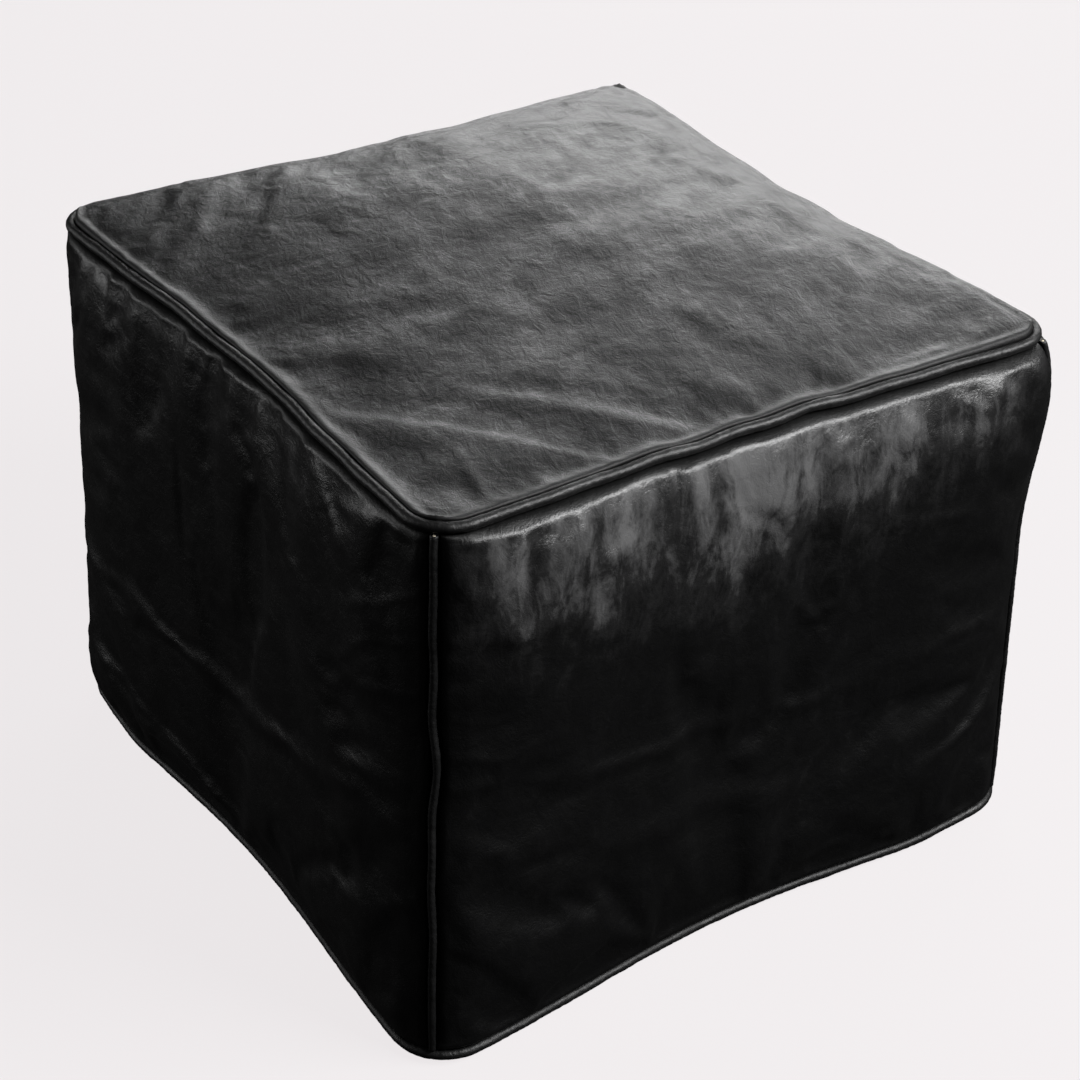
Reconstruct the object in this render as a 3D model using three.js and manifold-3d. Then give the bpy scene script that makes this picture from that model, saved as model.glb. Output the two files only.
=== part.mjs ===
// Square Moroccan leather pouf: leather panels sewn over a stuffed cotton liner, piped along every
// edge, with a zip across the base. Millimetres, +Z up, origin on the floor under the middle.
// The front faces -Y and the right side +X. Every sheet is modelled as a mid surface given thickness.
import * as THREE from "three";
import Module from "manifold-3d";
import { mergeVertices } from "three/addons/utils/BufferGeometryUtils.js";

const wasm = await Module();
wasm.setup();

// ---- Body of the pouf ----
const TOP_HALF = 237.5; // half the width between corners at the top seam's stitch line
const BASE_HALF = 249; // the same at the base seam: the pouf spreads a little where it stands
const TOP_SEAM_Z = 399;
const BASE_SEAM_Z = 9;
const HEIGHT = TOP_SEAM_Z - BASE_SEAM_Z;
const TOP_RADIUS = 24; // plan radius of the corners of the top seam
const BASE_RADIUS = 34;
const TOP_BOW = [6, 15, 12, 9]; // how far the top seam is pulled in at the middle of each side
const BASE_BOW = [17, 14, 14, 14]; // the same at the base; sides in the order front, right, back, left
const CORNER_DROP = [9, 9, -3, 0]; // how far the top seam sinks at each corner, front right first
const CORNER_PUFF = [10, 5, 2, 2]; // how far each corner stands out under the top seam
const CORNER_LIFT = [9, 8, 11, 0]; // how far the base seam rises at each corner
const CORNER_TUCK = [1, 4, 6, 0]; // how far it draws in there
const CORNER_REACH = 0.6; // share of the half width past which a side starts to turn into its corner
const CROWN = 16; // rise of the top panel's middle over its rim
const CROWN_POWER = 2.4; // the higher, the flatter the top and the steeper its rim
const SHOULDER = [19, 16, 15, 12]; // how far a side panel stands out under the top seam
const BELLY = 9; // how far it stands out lower down
const SHOULDER_REACH = 48; // distance over which it swells out of the top seam
const FOOT_REACH = 40; // the same at the base seam
const TOP_RIM = { rise: 9, reach: 15 }; // quick roll of the top panel out of its seam
const BASE_ROLL = 26; // distance from the base seam to where the base lies flat on the floor

// ---- Leather, seams and piping ----
const LEATHER = 1.6; // thickness of a panel
const GAP = 0.3; // clearance kept between neighbouring pieces
const ALLOWANCE = 11; // depth of the seam allowance turned inside
const EDGE_OFFSET = 2.2; // from a seam's middle plane to the mid surface of a panel's allowance
const SEAM_TILT = Math.PI / 6; // how far the seams' middle planes lean up from level
const SHIFT_IN = EDGE_OFFSET * Math.sin(SEAM_TILT); // the offset's share towards the middle
const SHIFT_UP = EDGE_OFFSET * Math.cos(SEAM_TILT); // and its share upwards at the top seam
const CORNER_EDGE_OFFSET = 3.6; // the same on the upright seams, beside the piping
const CORNER_ALLOWANCE_OFFSET = 2.4;
const PIPING_LEATHER = 0.8;
const PIPING_RADIUS = 3; // outer radius of the top and base piping
const CORNER_PIPING_RADIUS = 2.1;
const PIPING_OUT = 3.9; // how far the piping's centre stands out from the stitch line
const CORNER_PIPING_OUT = 4.2;
const TAIL_OFFSET = 0.6; // mid surface of each piping tail, from the seam's middle plane
const TAIL_LENGTH = 9;
const NOTCH = 17; // the allowances stop this far short of a corner, where they are snipped

// ---- Zip across the base ----
const ZIP_HALF = 186; // half the length of the tapes
const TEETH_HALF = 172;
const TOOTH_PITCH = 12;
const TOOTH_WIDTH = 7;
const TOOTH_REACH = 2.5; // length of a tooth across the zip
const TEETH_THICKNESS = 2.4;
const BEAD_WIDTH = 1.4; // strip along the tape that the teeth stand on
const SLIT_HALF = 0.8; // half the gap between the two rows, where the slider's web runs
const ROW_HALF = SLIT_HALF + TOOTH_REACH + BEAD_WIDTH;
const TAPE_THICKNESS = 0.8;
const TAPE_WIDTH = 13;
const ZIP_Z = 9.9; // height of the tapes' mid surface over the floor
const RECESS = 7.4; // how far the base is drawn up along the zip
const RECESS_FLAT = 9; // half width of the drawn-up strip
const RECESS_EDGE = 26; // half width at the floor
const ZIP_ROWS = 0.12; // share of the base's half width that runs straight along the zip
const OPENING_HALF = 6.8; // half the gap between the two base panels along the zip
const STOP_LENGTH = 4;
const SLIDER_LENGTH = 12;
const SLIDER_HALF_WIDTH = 6;
const SLIDER_WALL = 1.2;
const EYE_HEIGHT = 2.2; // clear height of the slider's loop, which holds the pull
const EYE_WALL = 0.8;
const PULL_LENGTH = 27;
const PULL_WIDTH = 8;
const PULL_THICKNESS = 1.4;
const PULL_EYE = 8; // length of the pull's own opening
const PULL_ARM = 1.5;

// ---- Filling ----
const LINER = 1.2; // thickness of the cotton liner
const LINER_INSET = 4.5; // liner under the panels at their middles
const STUFFING_INSET = 8;
const LINER_EDGE_INSET = 17; // liner inside the stitch lines, clear of the allowances
const STUFFING_EDGE_INSET = 22;
const LINER_SLIT_HALF = 150; // half length of the filling slit over the zip
const FLOOR_CLEARANCE = 2.2; // underside of the liner over the floor
const ZIP_CLEARANCE = 16; // how much higher the liner's underside is drawn over the zip

const SIDES = ["front", "right", "back", "left"];
const CORNERS = ["front_right", "back_right", "back_left", "front_left"]; // at the end of each side

const FINISH = {
  top: { color: 0x2c2c2d, roughness: 0.55, metalness: 0 },
  side: { color: 0x1c1c1d, roughness: 0.5, metalness: 0 },
  base: { color: 0x161616, roughness: 0.6, metalness: 0 },
  piping: { color: 0x242425, roughness: 0.45, metalness: 0 },
  cord: { color: 0xcfc6b2, roughness: 0.9, metalness: 0 },
  tape: { color: 0x101011, roughness: 0.9, metalness: 0 },
  metal: { color: 0x8a7444, roughness: 0.35, metalness: 0.9 },
  cotton: { color: 0xd8d0bf, roughness: 0.95, metalness: 0 },
  stuffing: { color: 0xe6e1d6, roughness: 1, metalness: 0 },
};

const pouf = new THREE.Group();

function add(name, geometry, finish) {
  const mesh = new THREE.Mesh(geometry, new THREE.MeshStandardMaterial(FINISH[finish]));
  mesh.name = name;
  pouf.add(mesh);
}

const { clamp, lerp, smoothstep } = THREE.MathUtils;
const UP = new THREE.Vector3(0, 0, 1);
const ORIGIN = new THREE.Vector3();
const sorted = (...values) => values.sort((a, b) => a - b);

// A point reached from an origin by lengths along directions.
function along(origin, ...steps) {
  const p = origin.clone();
  for (let i = 0; i < steps.length; i += 2) p.addScaledVector(steps[i], steps[i + 1]);
  return p;
}

// ---- The soft box that everything is placed on ----

// Quarter ellipse from 0 at no distance to 1 at the reach and beyond.
function roll(distance, reach) {
  const left = 1 - clamp(distance / reach, 0, 1);
  return Math.sqrt(1 - left * left);
}

// Point of the body's outline on a side, at height share h (0 base seam, 1 top seam). t runs from -1
// to 1 between the diagonals of the side's two corners. inset moves the outline inwards.
function outline(side, t, h, inset = 0) {
  const half = lerp(BASE_HALF, TOP_HALF, h) - inset;
  const radius = Math.max(lerp(BASE_RADIUS, TOP_RADIUS, h) - inset, 8);
  const bow = lerp(BASE_BOW[side], TOP_BOW[side], h);
  const straight = half - radius;
  const run = Math.abs(t) * (straight + (radius * Math.PI) / 4);
  const turn = Math.max(run - straight, 0) / radius;
  const x = Math.sign(t) * (Math.min(run, straight) + radius * Math.sin(turn));
  const y = -half + radius * (1 - Math.cos(turn)) + bow * Math.cos((Math.PI * t) / 2) ** 2;
  const sunk = h * h * lerp(CORNER_DROP[(side + 3) % 4], CORNER_DROP[side], (t + 1) / 2);
  const corner = t > 0 ? side : (side + 3) % 4;
  const weight = smoothstep(Math.abs(t), CORNER_REACH, 1);
  const puff = CORNER_PUFF[corner] * roll((1 - h) * HEIGHT, SHOULDER_REACH) * smoothstep(h, 0.6, 0.9);
  const push = weight * (puff - CORNER_TUCK[corner] * (1 - roll(h * HEIGHT, FOOT_REACH)));
  const lift = weight * CORNER_LIFT[corner] * Math.max(1 - (h * HEIGHT) / 90, 0) ** 2;
  const p = new THREE.Vector3(x, y, lerp(BASE_SEAM_Z, TOP_SEAM_Z, h) - sunk + lift);
  p.x += Math.sign(t) * Math.SQRT1_2 * push;
  p.y -= Math.SQRT1_2 * push;
  return p.applyAxisAngle(UP, (side * Math.PI) / 2);
}

// Outward horizontal normal of that outline.
function outward(side, t, h) {
  const step = 1e-3;
  if (Math.abs(t) > 1 - step) {
    const diagonal = new THREE.Vector3(Math.sign(t) * Math.SQRT1_2, -Math.SQRT1_2, 0);
    return diagonal.applyAxisAngle(UP, (side * Math.PI) / 2);
  }
  const tangent = outline(side, t + step, h).sub(outline(side, t - step, h));
  return new THREE.Vector3(tangent.y, -tangent.x, 0).normalize();
}

// A place on a horizontal seam: out points away from the body in the seam's middle plane, and aside
// towards the top or base panel.
function seamFrame(side, t, h) {
  const n = outward(side, t, h);
  const face = h > 0.5 ? UP.clone() : UP.clone().negate();
  const [cos, sin] = [Math.cos(SEAM_TILT), Math.sin(SEAM_TILT)];
  const out = along(ORIGIN, n, cos, face, sin);
  return { at: outline(side, t, h), out, aside: along(ORIGIN, face, cos, n, -sin) };
}

// The same on the upright seam at the end of a side; aside points away from that side.
function cornerFrame(side, h) {
  const out = outward(side, 1, h);
  return { at: outline(side, 1, h), out, aside: new THREE.Vector3(-out.y, out.x, 0) };
}

// ---- Sheets: a grid of mid-surface points given thickness ----

// Turns a closed mesh's faces round if they point inwards.
function facingOut(geometry) {
  const p = geometry.getAttribute("position");
  const index = geometry.getIndex().array;
  const [a, b, c] = [new THREE.Vector3(), new THREE.Vector3(), new THREE.Vector3()];
  let volume = 0;
  for (let i = 0; i < index.length; i += 3) {
    a.fromBufferAttribute(p, index[i]);
    b.fromBufferAttribute(p, index[i + 1]);
    c.fromBufferAttribute(p, index[i + 2]);
    volume += a.dot(b.cross(c));
  }
  if (volume < 0) {
    for (let i = 0; i < index.length; i += 3) [index[i + 1], index[i + 2]] = [index[i + 2], index[i + 1]];
  }
  return geometry;
}

function indexed(position, index) {
  return facingOut(new THREE.BufferGeometry()
    .setAttribute("position", new THREE.Float32BufferAttribute(position, 3))
    .setIndex(index));
}

// mid[i][j] are points; closed joins the last column to the first; keep(i, j) says which cells exist.
function sheet(mid, thickness, { closed = false, keep = () => true } = {}) {
  const rows = mid.length;
  const columns = mid[0].length;
  const column = (j) => (closed ? (j + columns) % columns : clamp(j, 0, columns - 1));
  const at = (i, j) => mid[clamp(i, 0, rows - 1)][column(j)];
  const position = [];
  for (let i = 0; i < rows; i++) {
    for (let j = 0; j < columns; j++) {
      const down = at(i + 1, j).clone().sub(at(i - 1, j));
      const across = at(i, j + 1).clone().sub(at(i, j - 1));
      const normal = down.cross(across).normalize();
      position.push(...along(mid[i][j], normal, thickness / 2), ...along(mid[i][j], normal, -thickness / 2));
    }
  }
  const cells = closed ? columns : columns - 1;
  const vertex = ([i, j], layer) => 2 * (i * columns + (closed ? j % columns : j)) + layer;
  const exists = (i, j) => {
    if (i < 0 || i >= rows - 1 || (!closed && (j < 0 || j >= cells))) return false;
    return keep(i, (j + cells) % cells);
  };
  const index = [];
  const quad = (a, b, c, d) => index.push(a, b, c, a, c, d);
  const wall = (a, b) => quad(vertex(b, 0), vertex(a, 0), vertex(a, 1), vertex(b, 1));
  for (let i = 0; i < rows - 1; i++) {
    for (let j = 0; j < cells; j++) {
      if (!exists(i, j)) continue;
      const ring = [[i, j], [i + 1, j], [i + 1, j + 1], [i, j + 1]];
      quad(...ring.map((v) => vertex(v, 0)));
      quad(...ring.map((v) => vertex(v, 1)).reverse());
      if (!exists(i, j - 1)) wall(ring[0], ring[1]);
      if (!exists(i + 1, j)) wall(ring[1], ring[2]);
      if (!exists(i, j + 1)) wall(ring[2], ring[3]);
      if (!exists(i - 1, j)) wall(ring[3], ring[0]);
    }
  }
  return indexed(position, index);
}

// ---- Leather panels ----

// Stations along a side, shared by the panels and the piping so that they stay parallel.
const STATIONS = [-1, -0.94, -0.88, -0.82, -0.45, 0, 0.45, 0.82, 0.88, 0.94, 1];
// Stations 2 and -2 stand for the inner edge of the allowance beyond a panel's own edge.
const withAllowances = (stations) => [-2, ...stations, 2];

// Plan point of the top or base, blended from the four edges of the outline; u and v from -1 to 1.
function planPoint(u, v, h, inset = 0) {
  const s = (u + 1) / 2;
  const r = (v + 1) / 2;
  const point = (side, t) => outline(side, t, h, inset);
  return new THREE.Vector3()
    .addScaledVector(point(0, u), 1 - r)
    .addScaledVector(point(2, -u), r)
    .addScaledVector(point(3, -v), 1 - s)
    .addScaledVector(point(1, v), s)
    .addScaledVector(point(3, 1), -(1 - s) * (1 - r))
    .addScaledVector(point(0, 1), -s * (1 - r))
    .addScaledVector(point(2, 1), -(1 - s) * r)
    .addScaledVector(point(1, 1), -s * r);
}

const edgeDistance = (u, v, half) => (1 - Math.max(Math.abs(u), Math.abs(v))) * half;
const topSwell = (u, v) => CROWN * (1 - Math.abs(u) ** CROWN_POWER) * (1 - Math.abs(v) ** CROWN_POWER);

function topSurface(u, v) {
  const p = planPoint(u, v, 1, SHIFT_IN);
  p.z += SHIFT_UP + TOP_RIM.rise * roll(edgeDistance(u, v, TOP_HALF), TOP_RIM.reach) + topSwell(u, v);
  return p;
}

// The base lies on the floor from a little inside its seam, and is drawn up along the zip.
function baseSurface(u, v) {
  const p = planPoint(u, v, 0, SHIFT_IN);
  p.y = lerp(v * BASE_HALF, p.y, smoothstep(Math.abs(v), ZIP_ROWS, 2 * ZIP_ROWS)); // straight along the zip
  const rim = (p.z - SHIFT_UP - LEATHER / 2) * (1 - roll(edgeDistance(u, v, BASE_HALF), BASE_ROLL));
  const lift = RECESS * (1 - smoothstep(Math.abs(p.y), RECESS_FLAT, RECESS_EDGE));
  p.z = LEATHER / 2 + Math.max(rim, lift);
  return p;
}

// How far a side panel stands out of the outline.
function sideSwell(side, t, h) {
  const full = lerp(BELLY, SHOULDER[side], smoothstep(h, 0.35, 0.9));
  const start = roll((1 - h) * HEIGHT, SHOULDER_REACH) * roll(h * HEIGHT, FOOT_REACH);
  return full * start * (1 - Math.abs(t) ** 8);
}

function sideSurface(side, t, h) {
  const near = 1 - smoothstep(Math.min(h, 1 - h) * HEIGHT, 0, 8);
  const rise = sideSwell(side, t, h) + SHIFT_IN * near;
  return along(outline(side, t, h), outward(side, t, h), rise, UP, (h > 0.5 ? -1 : 1) * SHIFT_UP * near);
}

// The cells between a panel's own edges exist, and so do the allowances, but not at the corners.
const middle = (stations, i) => (clamp(stations[i], -1, 1) + clamp(stations[i + 1], -1, 1)) / 2;
const within = (stations, i) => Math.abs(stations[i]) <= 1 && Math.abs(stations[i + 1]) <= 1;
const awayFromCorner = (t, half) => (1 - Math.abs(t)) * half >= NOTCH;

function lidPoint(surface, h, u, v) {
  const edge = (side, t) => {
    const f = seamFrame(side, t, h);
    return along(f.at, f.aside, EDGE_OFFSET, f.out, -ALLOWANCE);
  };
  if (v === -2) return edge(0, clamp(u, -1, 1));
  if (v === 2) return edge(2, -clamp(u, -1, 1));
  if (u === 2) return edge(1, v);
  if (u === -2) return edge(3, -v);
  return surface(u, v);
}

function lidKeep(vs, us, half) {
  return (i, j) => {
    if (within(vs, i) && within(us, j)) return true;
    if (within(us, j)) return awayFromCorner(middle(us, j), half);
    return within(vs, i) && awayFromCorner(middle(vs, i), half);
  };
}

function topPanel() {
  const stations = withAllowances(STATIONS);
  const mid = stations.map((v) => stations.map((u) => lidPoint(topSurface, 1, u, v)));
  add("top_panel", sheet(mid, LEATHER, { keep: lidKeep(stations, stations, TOP_HALF) }), "top");
}

// Each half of the base runs from its seam to the zip, beyond whose ends the two halves meet.
const BASE_ROWS = [-1, -0.94, -0.88, -0.82, -0.45, -ZIP_ROWS, -0.074, -0.0365];

function basePanel(name, sign) {
  const us = withAllowances(STATIONS);
  const vs = [-2, ...BASE_ROWS, "hem"];
  const hem = (u) => (Math.abs(u) > 0.85 ? GAP / 2 : OPENING_HALF) / BASE_HALF;
  const mid = vs.map((v) => us.map((u) => lidPoint(baseSurface, 0, u, sign * (v === "hem" ? hem(u) : -v))));
  add(name, sheet(mid, LEATHER, { keep: lidKeep([-2, ...BASE_ROWS, 0], us, BASE_HALF) }), "base");
}

const SIDE_ROWS = [0, 0.016, 0.046, 0.13, 0.3, 0.5, 0.7, 0.87, 0.954, 0.984, 1]; // height shares

function sidePanel(side) {
  const edge = 1 - CORNER_EDGE_OFFSET / TOP_HALF;
  const ts = withAllowances([-edge, ...STATIONS.slice(1, -1), edge]);
  const hs = [-1, ...SIDE_ROWS, 2];
  const mid = hs.map((h) => ts.map((t) => {
    const place = clamp(t, -edge, edge);
    const level = clamp(h, 0, 1);
    if (level !== h) {
      const f = seamFrame(side, place, level);
      return along(f.at, f.aside, -EDGE_OFFSET, f.out, -ALLOWANCE);
    }
    if (place === t) return sideSurface(side, t, h);
    const f = cornerFrame(t > 0 ? side : (side + 3) % 4, h);
    return along(f.at, f.aside, -Math.sign(t) * CORNER_ALLOWANCE_OFFSET, f.out, -ALLOWANCE);
  }));
  const keep = (i, j) => {
    const inside = hs[i] >= 0 && hs[i + 1] <= 1;
    if (inside && within(ts, j)) return true;
    if (within(ts, j)) return awayFromCorner(middle(ts, j), TOP_HALF);
    const level = (hs[i] + hs[i + 1]) / 2;
    return inside && Math.min(level, 1 - level) * HEIGHT >= NOTCH;
  };
  add(`side_panel_${SIDES[side]}`, sheet(mid, LEATHER, { keep }), "side");
}

// ---- Piping: a cotton cord in a folded strip of leather whose two tails are sewn into the seam ----

const FOLD_STEPS = 6;
const CORD_SIDES = 6;

// Section of the folded strip as [out, aside] pairs, from the edge of one tail to the other's.
function foldedStrip(radius, reach) {
  const mid = radius - PIPING_LEATHER / 2;
  const open = Math.asin(TAIL_OFFSET / mid);
  const points = [[-TAIL_LENGTH, TAIL_OFFSET]];
  for (let k = 0; k <= FOLD_STEPS; k++) {
    const angle = lerp(Math.PI - open, open - Math.PI, k / FOLD_STEPS);
    points.push([reach + mid * Math.cos(angle), mid * Math.sin(angle)]);
  }
  points.push([-TAIL_LENGTH, -TAIL_OFFSET]);
  return points;
}

// A round cord through frames, set out from each frame's point.
function cord(frames, radius, reach, closed) {
  const position = frames.flatMap((f) => Array.from({ length: CORD_SIDES }, (_, k) => {
    const angle = (2 * Math.PI * k) / CORD_SIDES;
    return [...along(f.at, f.out, reach + radius * Math.cos(angle), f.aside, radius * Math.sin(angle))];
  }).flat());
  const last = frames.length - 1;
  const vertex = (i, k) => (i % frames.length) * CORD_SIDES + (k % CORD_SIDES);
  const index = [];
  for (let i = 0; i < (closed ? last + 1 : last); i++) {
    for (let k = 0; k < CORD_SIDES; k++) {
      const [a, b, c, d] = [vertex(i, k), vertex(i + 1, k), vertex(i + 1, k + 1), vertex(i, k + 1)];
      index.push(a, b, c, a, c, d);
    }
  }
  if (!closed) {
    for (let k = 1; k < CORD_SIDES - 1; k++) {
      index.push(vertex(0, 0), vertex(0, k), vertex(0, k + 1));
      index.push(vertex(last, 0), vertex(last, k + 1), vertex(last, k));
    }
  }
  return indexed(position, index);
}

function piping(coverName, cordName, frames, radius, reach, options) {
  const mid = foldedStrip(radius, reach).map(([out, aside]) => (
    frames.map((f) => along(f.at, f.out, out, f.aside, aside))));
  add(coverName, sheet(mid, PIPING_LEATHER, options), "piping");
  add(cordName, cord(frames, radius - PIPING_LEATHER - GAP, reach, Boolean(options.closed)), "cord");
}

function ringPiping(name, h) {
  const frames = SIDES.flatMap((_, side) => STATIONS.slice(1).map((t) => seamFrame(side, t, h)));
  piping(`${name}_piping_cover`, `${name}_piping_cord`, frames, PIPING_RADIUS, PIPING_OUT, { closed: true });
}

// The upright piping runs between the two rings; its tails stop short of their allowances.
function cornerPiping(side) {
  const end = 3.8 / HEIGHT;
  const notch = 22 / HEIGHT;
  const hs = [end, notch, 0.2, 0.35, 0.5, 0.65, 0.8, 1 - notch, 1 - end];
  const frames = hs.map((h) => cornerFrame(side, h));
  const lastTail = FOLD_STEPS + 1;
  const keep = (i, j) => (i > 0 && i < lastTail) || (j > 0 && j < hs.length - 2);
  const name = CORNERS[side];
  const [cover, inner] = [`corner_piping_cover_${name}`, `corner_piping_cord_${name}`];
  piping(cover, inner, frames, CORNER_PIPING_RADIUS, CORNER_PIPING_OUT, { keep });
}

// ---- Zip ----

function box(x0, x1, y0, y1, z0, z1) {
  const geometry = new THREE.BoxGeometry(x1 - x0, y1 - y0, z1 - z0);
  return geometry.translate((x0 + x1) / 2, (y0 + y1) / 2, (z0 + z1) / 2);
}

function solid(geometry) {
  const bare = geometry.clone();
  bare.deleteAttribute("normal");
  bare.deleteAttribute("uv");
  const merged = mergeVertices(bare, 1e-3);
  return new wasm.Manifold(new wasm.Mesh({
    numProp: 3,
    vertProperties: new Float32Array(merged.getAttribute("position").array),
    triVerts: new Uint32Array(merged.getIndex().array),
  }));
}

function geometryOf(manifold) {
  const mesh = manifold.getMesh();
  return new THREE.BufferGeometry()
    .setAttribute("position", new THREE.BufferAttribute(mesh.vertProperties, 3))
    .setIndex(new THREE.BufferAttribute(mesh.triVerts, 1));
}

const union = (...geometries) => geometryOf(geometries.map(solid).reduce((a, b) => a.add(b)));

// One row of teeth on its bead, as a comb outline given thickness. The rows' teeth face each other.
function teethRow(name, sign) {
  const root = SLIT_HALF + TOOTH_REACH;
  const shape = new THREE.Shape();
  shape.moveTo(-TEETH_HALF, ROW_HALF);
  shape.lineTo(-TEETH_HALF, root);
  for (let x = -TEETH_HALF + 2; x + TOOTH_WIDTH < TEETH_HALF - 1; x += TOOTH_PITCH) {
    shape.lineTo(x, root);
    shape.lineTo(x, SLIT_HALF);
    shape.lineTo(x + TOOTH_WIDTH, SLIT_HALF);
    shape.lineTo(x + TOOTH_WIDTH, root);
  }
  shape.lineTo(TEETH_HALF, root);
  shape.lineTo(TEETH_HALF, ROW_HALF);
  const geometry = new THREE.ExtrudeGeometry(shape, { depth: TEETH_THICKNESS, bevelEnabled: false });
  geometry.translate(0, 0, ZIP_Z - TEETH_THICKNESS / 2);
  if (sign < 0) geometry.rotateZ(Math.PI);
  add(name, geometry, "metal");
}

function zipTape(name, sign) {
  const inner = ROW_HALF + GAP;
  const ys = sorted(sign * inner, sign * (inner + TAPE_WIDTH));
  add(name, box(-ZIP_HALF, ZIP_HALF, ...ys, ZIP_Z - TAPE_THICKNESS / 2, ZIP_Z + TAPE_THICKNESS / 2), "tape");
}

// The slider stands at the closed end of the zip, hard by the top stops.
const SLIDER_X = TEETH_HALF - SLIDER_LENGTH / 2 - 1;
const CHANNEL_HALF = ROW_HALF + 0.35;
const PLATE_NEAR = TEETH_THICKNESS / 2 + 0.4;
const SLIDER_UNDER = ZIP_Z - PLATE_NEAR - SLIDER_WALL;
const PULL_PIVOT_Z = SLIDER_UNDER - EYE_HEIGHT / 2;

function zipSlider() {
  const [x0, x1] = [SLIDER_X - SLIDER_LENGTH / 2, SLIDER_X + SLIDER_LENGTH / 2];
  const half = SLIDER_HALF_WIDTH;
  const sew = 0.1; // overlap between the boxes that are joined
  const plates = [1, -1].flatMap((direction) => {
    const near = ZIP_Z + direction * PLATE_NEAR;
    const lip = sorted(ZIP_Z + direction * (TAPE_THICKNESS / 2 + GAP), near + direction * sew);
    return [
      box(x0, x1, -half, half, ...sorted(near, near + direction * SLIDER_WALL)),
      box(x0, x1, CHANNEL_HALF, half, ...lip),
      box(x0, x1, -half, -CHANNEL_HALF, ...lip),
    ];
  });
  const web = box(SLIDER_X - 3, SLIDER_X + 3, -0.4, 0.4, ZIP_Z - PLATE_NEAR - sew, ZIP_Z + PLATE_NEAR + sew);
  const low = SLIDER_UNDER - EYE_HEIGHT - EYE_WALL;
  const loop = [
    box(SLIDER_X - 4.2, SLIDER_X - 2.6, -1, 1, low, SLIDER_UNDER + sew),
    box(SLIDER_X + 2.6, SLIDER_X + 4.2, -1, 1, low, SLIDER_UNDER + sew),
    box(SLIDER_X - 4.2, SLIDER_X + 4.2, -1, 1, low, low + EYE_WALL),
  ];
  add("zip_slider", union(...plates, web, ...loop), "metal");
}

// The pull lies along the closed rows; the bar of its eye sits in the slider's loop.
function zipPull() {
  const t = PULL_THICKNESS / 2;
  const half = PULL_WIDTH / 2;
  const zs = [PULL_PIVOT_Z - t, PULL_PIVOT_Z + t];
  const bar = box(SLIDER_X - t, SLIDER_X + t, -half, half, ...zs);
  const arms = [1, -1].map((s) => (
    box(SLIDER_X - PULL_EYE, SLIDER_X, ...sorted(s * half, s * (half - PULL_ARM)), ...zs)));
  const blade = box(SLIDER_X - PULL_LENGTH, SLIDER_X - PULL_EYE + 0.5, -half, half, ...zs);
  add("zip_pull", union(bar, ...arms, blade), "metal");
}

function zipStops() {
  const zs = [ZIP_Z - TEETH_THICKNESS / 2, ZIP_Z + TEETH_THICKNESS / 2];
  const start = TEETH_HALF + GAP;
  for (const [name, sign] of [["front", -1], ["back", 1]]) {
    const ys = sorted(sign * 1.2, sign * ROW_HALF);
    add(`zip_top_stop_${name}`, box(start, start + STOP_LENGTH, ...ys, ...zs), "metal");
  }
  add("zip_bottom_stop", box(-start - STOP_LENGTH, -start, -ROW_HALF, ROW_HALF, ...zs), "metal");
}

// ---- Liner and stuffing ----

const CORE_CELLS = 8;

// A soft box inside the cover. Each of its faces swells from edgeInset inside the stitch lines to
// faceInset under the leather.
function core(faceInset, edgeInset) {
  const closer = (i) => Math.sin((i / CORE_CELLS - 0.5) * Math.PI); // closer together near the edges
  const stations = Array.from({ length: CORE_CELLS + 1 }, (_, i) => closer(i));
  const low = BASE_SEAM_Z + edgeInset;
  const high = TOP_SEAM_Z - edgeInset;
  const reach = (u, v) => roll(edgeDistance(u, v, TOP_HALF), edgeInset + TOP_RIM.reach);
  const lid = (u, v) => {
    const p = planPoint(u, v, 1, edgeInset);
    const swollen = TOP_SEAM_Z + SHIFT_UP + TOP_RIM.rise + topSwell(u, v) - faceInset;
    p.z += lerp(high, swollen, reach(u, v)) - TOP_SEAM_Z;
    return p;
  };
  const floor = (u, v) => {
    const p = planPoint(u, v, 0, edgeInset);
    const overZip = ZIP_CLEARANCE * (1 - smoothstep(Math.abs(p.y), 0, 60));
    p.z = lerp(low, FLOOR_CLEARANCE + faceInset - LINER_INSET + overZip, reach(u, v));
    return p;
  };
  const wall = (side) => (t, s) => {
    const h = (s + 1) / 2;
    const p = outline(side, t, h, edgeInset);
    p.z += h > 0 ? lerp(low, high, h) - lerp(BASE_SEAM_Z, TOP_SEAM_Z, h) : low - p.z;
    return along(p, outward(side, t, h), reach(t, s) * (edgeInset + sideSwell(side, t, h) - faceInset));
  };
  const position = [];
  const face = (point, flipped) => {
    const points = stations.map((v) => stations.map((u) => point(u, v)));
    for (let i = 0; i < CORE_CELLS; i++) {
      for (let j = 0; j < CORE_CELLS; j++) {
        const ring = [points[i][j], points[i][j + 1], points[i + 1][j + 1], points[i + 1][j]];
        if (flipped) ring.reverse();
        for (const k of [0, 1, 2, 0, 2, 3]) position.push(...ring[k]);
      }
    }
  };
  face(lid, false);
  face(floor, true);
  SIDES.forEach((_, side) => face(wall(side), false));
  const loose = new THREE.BufferGeometry();
  loose.setAttribute("position", new THREE.Float32BufferAttribute(position, 3));
  return mergeVertices(loose, 0.01);
}

function filling() {
  const outer = solid(core(LINER_INSET, LINER_EDGE_INSET));
  const inner = solid(core(LINER_INSET + LINER, LINER_EDGE_INSET + LINER * 1.5));
  const slit = solid(box(-LINER_SLIT_HALF, LINER_SLIT_HALF, -2, 2, 0, 60));
  add("liner_bag", geometryOf(outer.subtract(inner).subtract(slit)), "cotton");
  add("stuffing", core(STUFFING_INSET, STUFFING_EDGE_INSET), "stuffing");
}

// ---- Assembly ----

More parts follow.
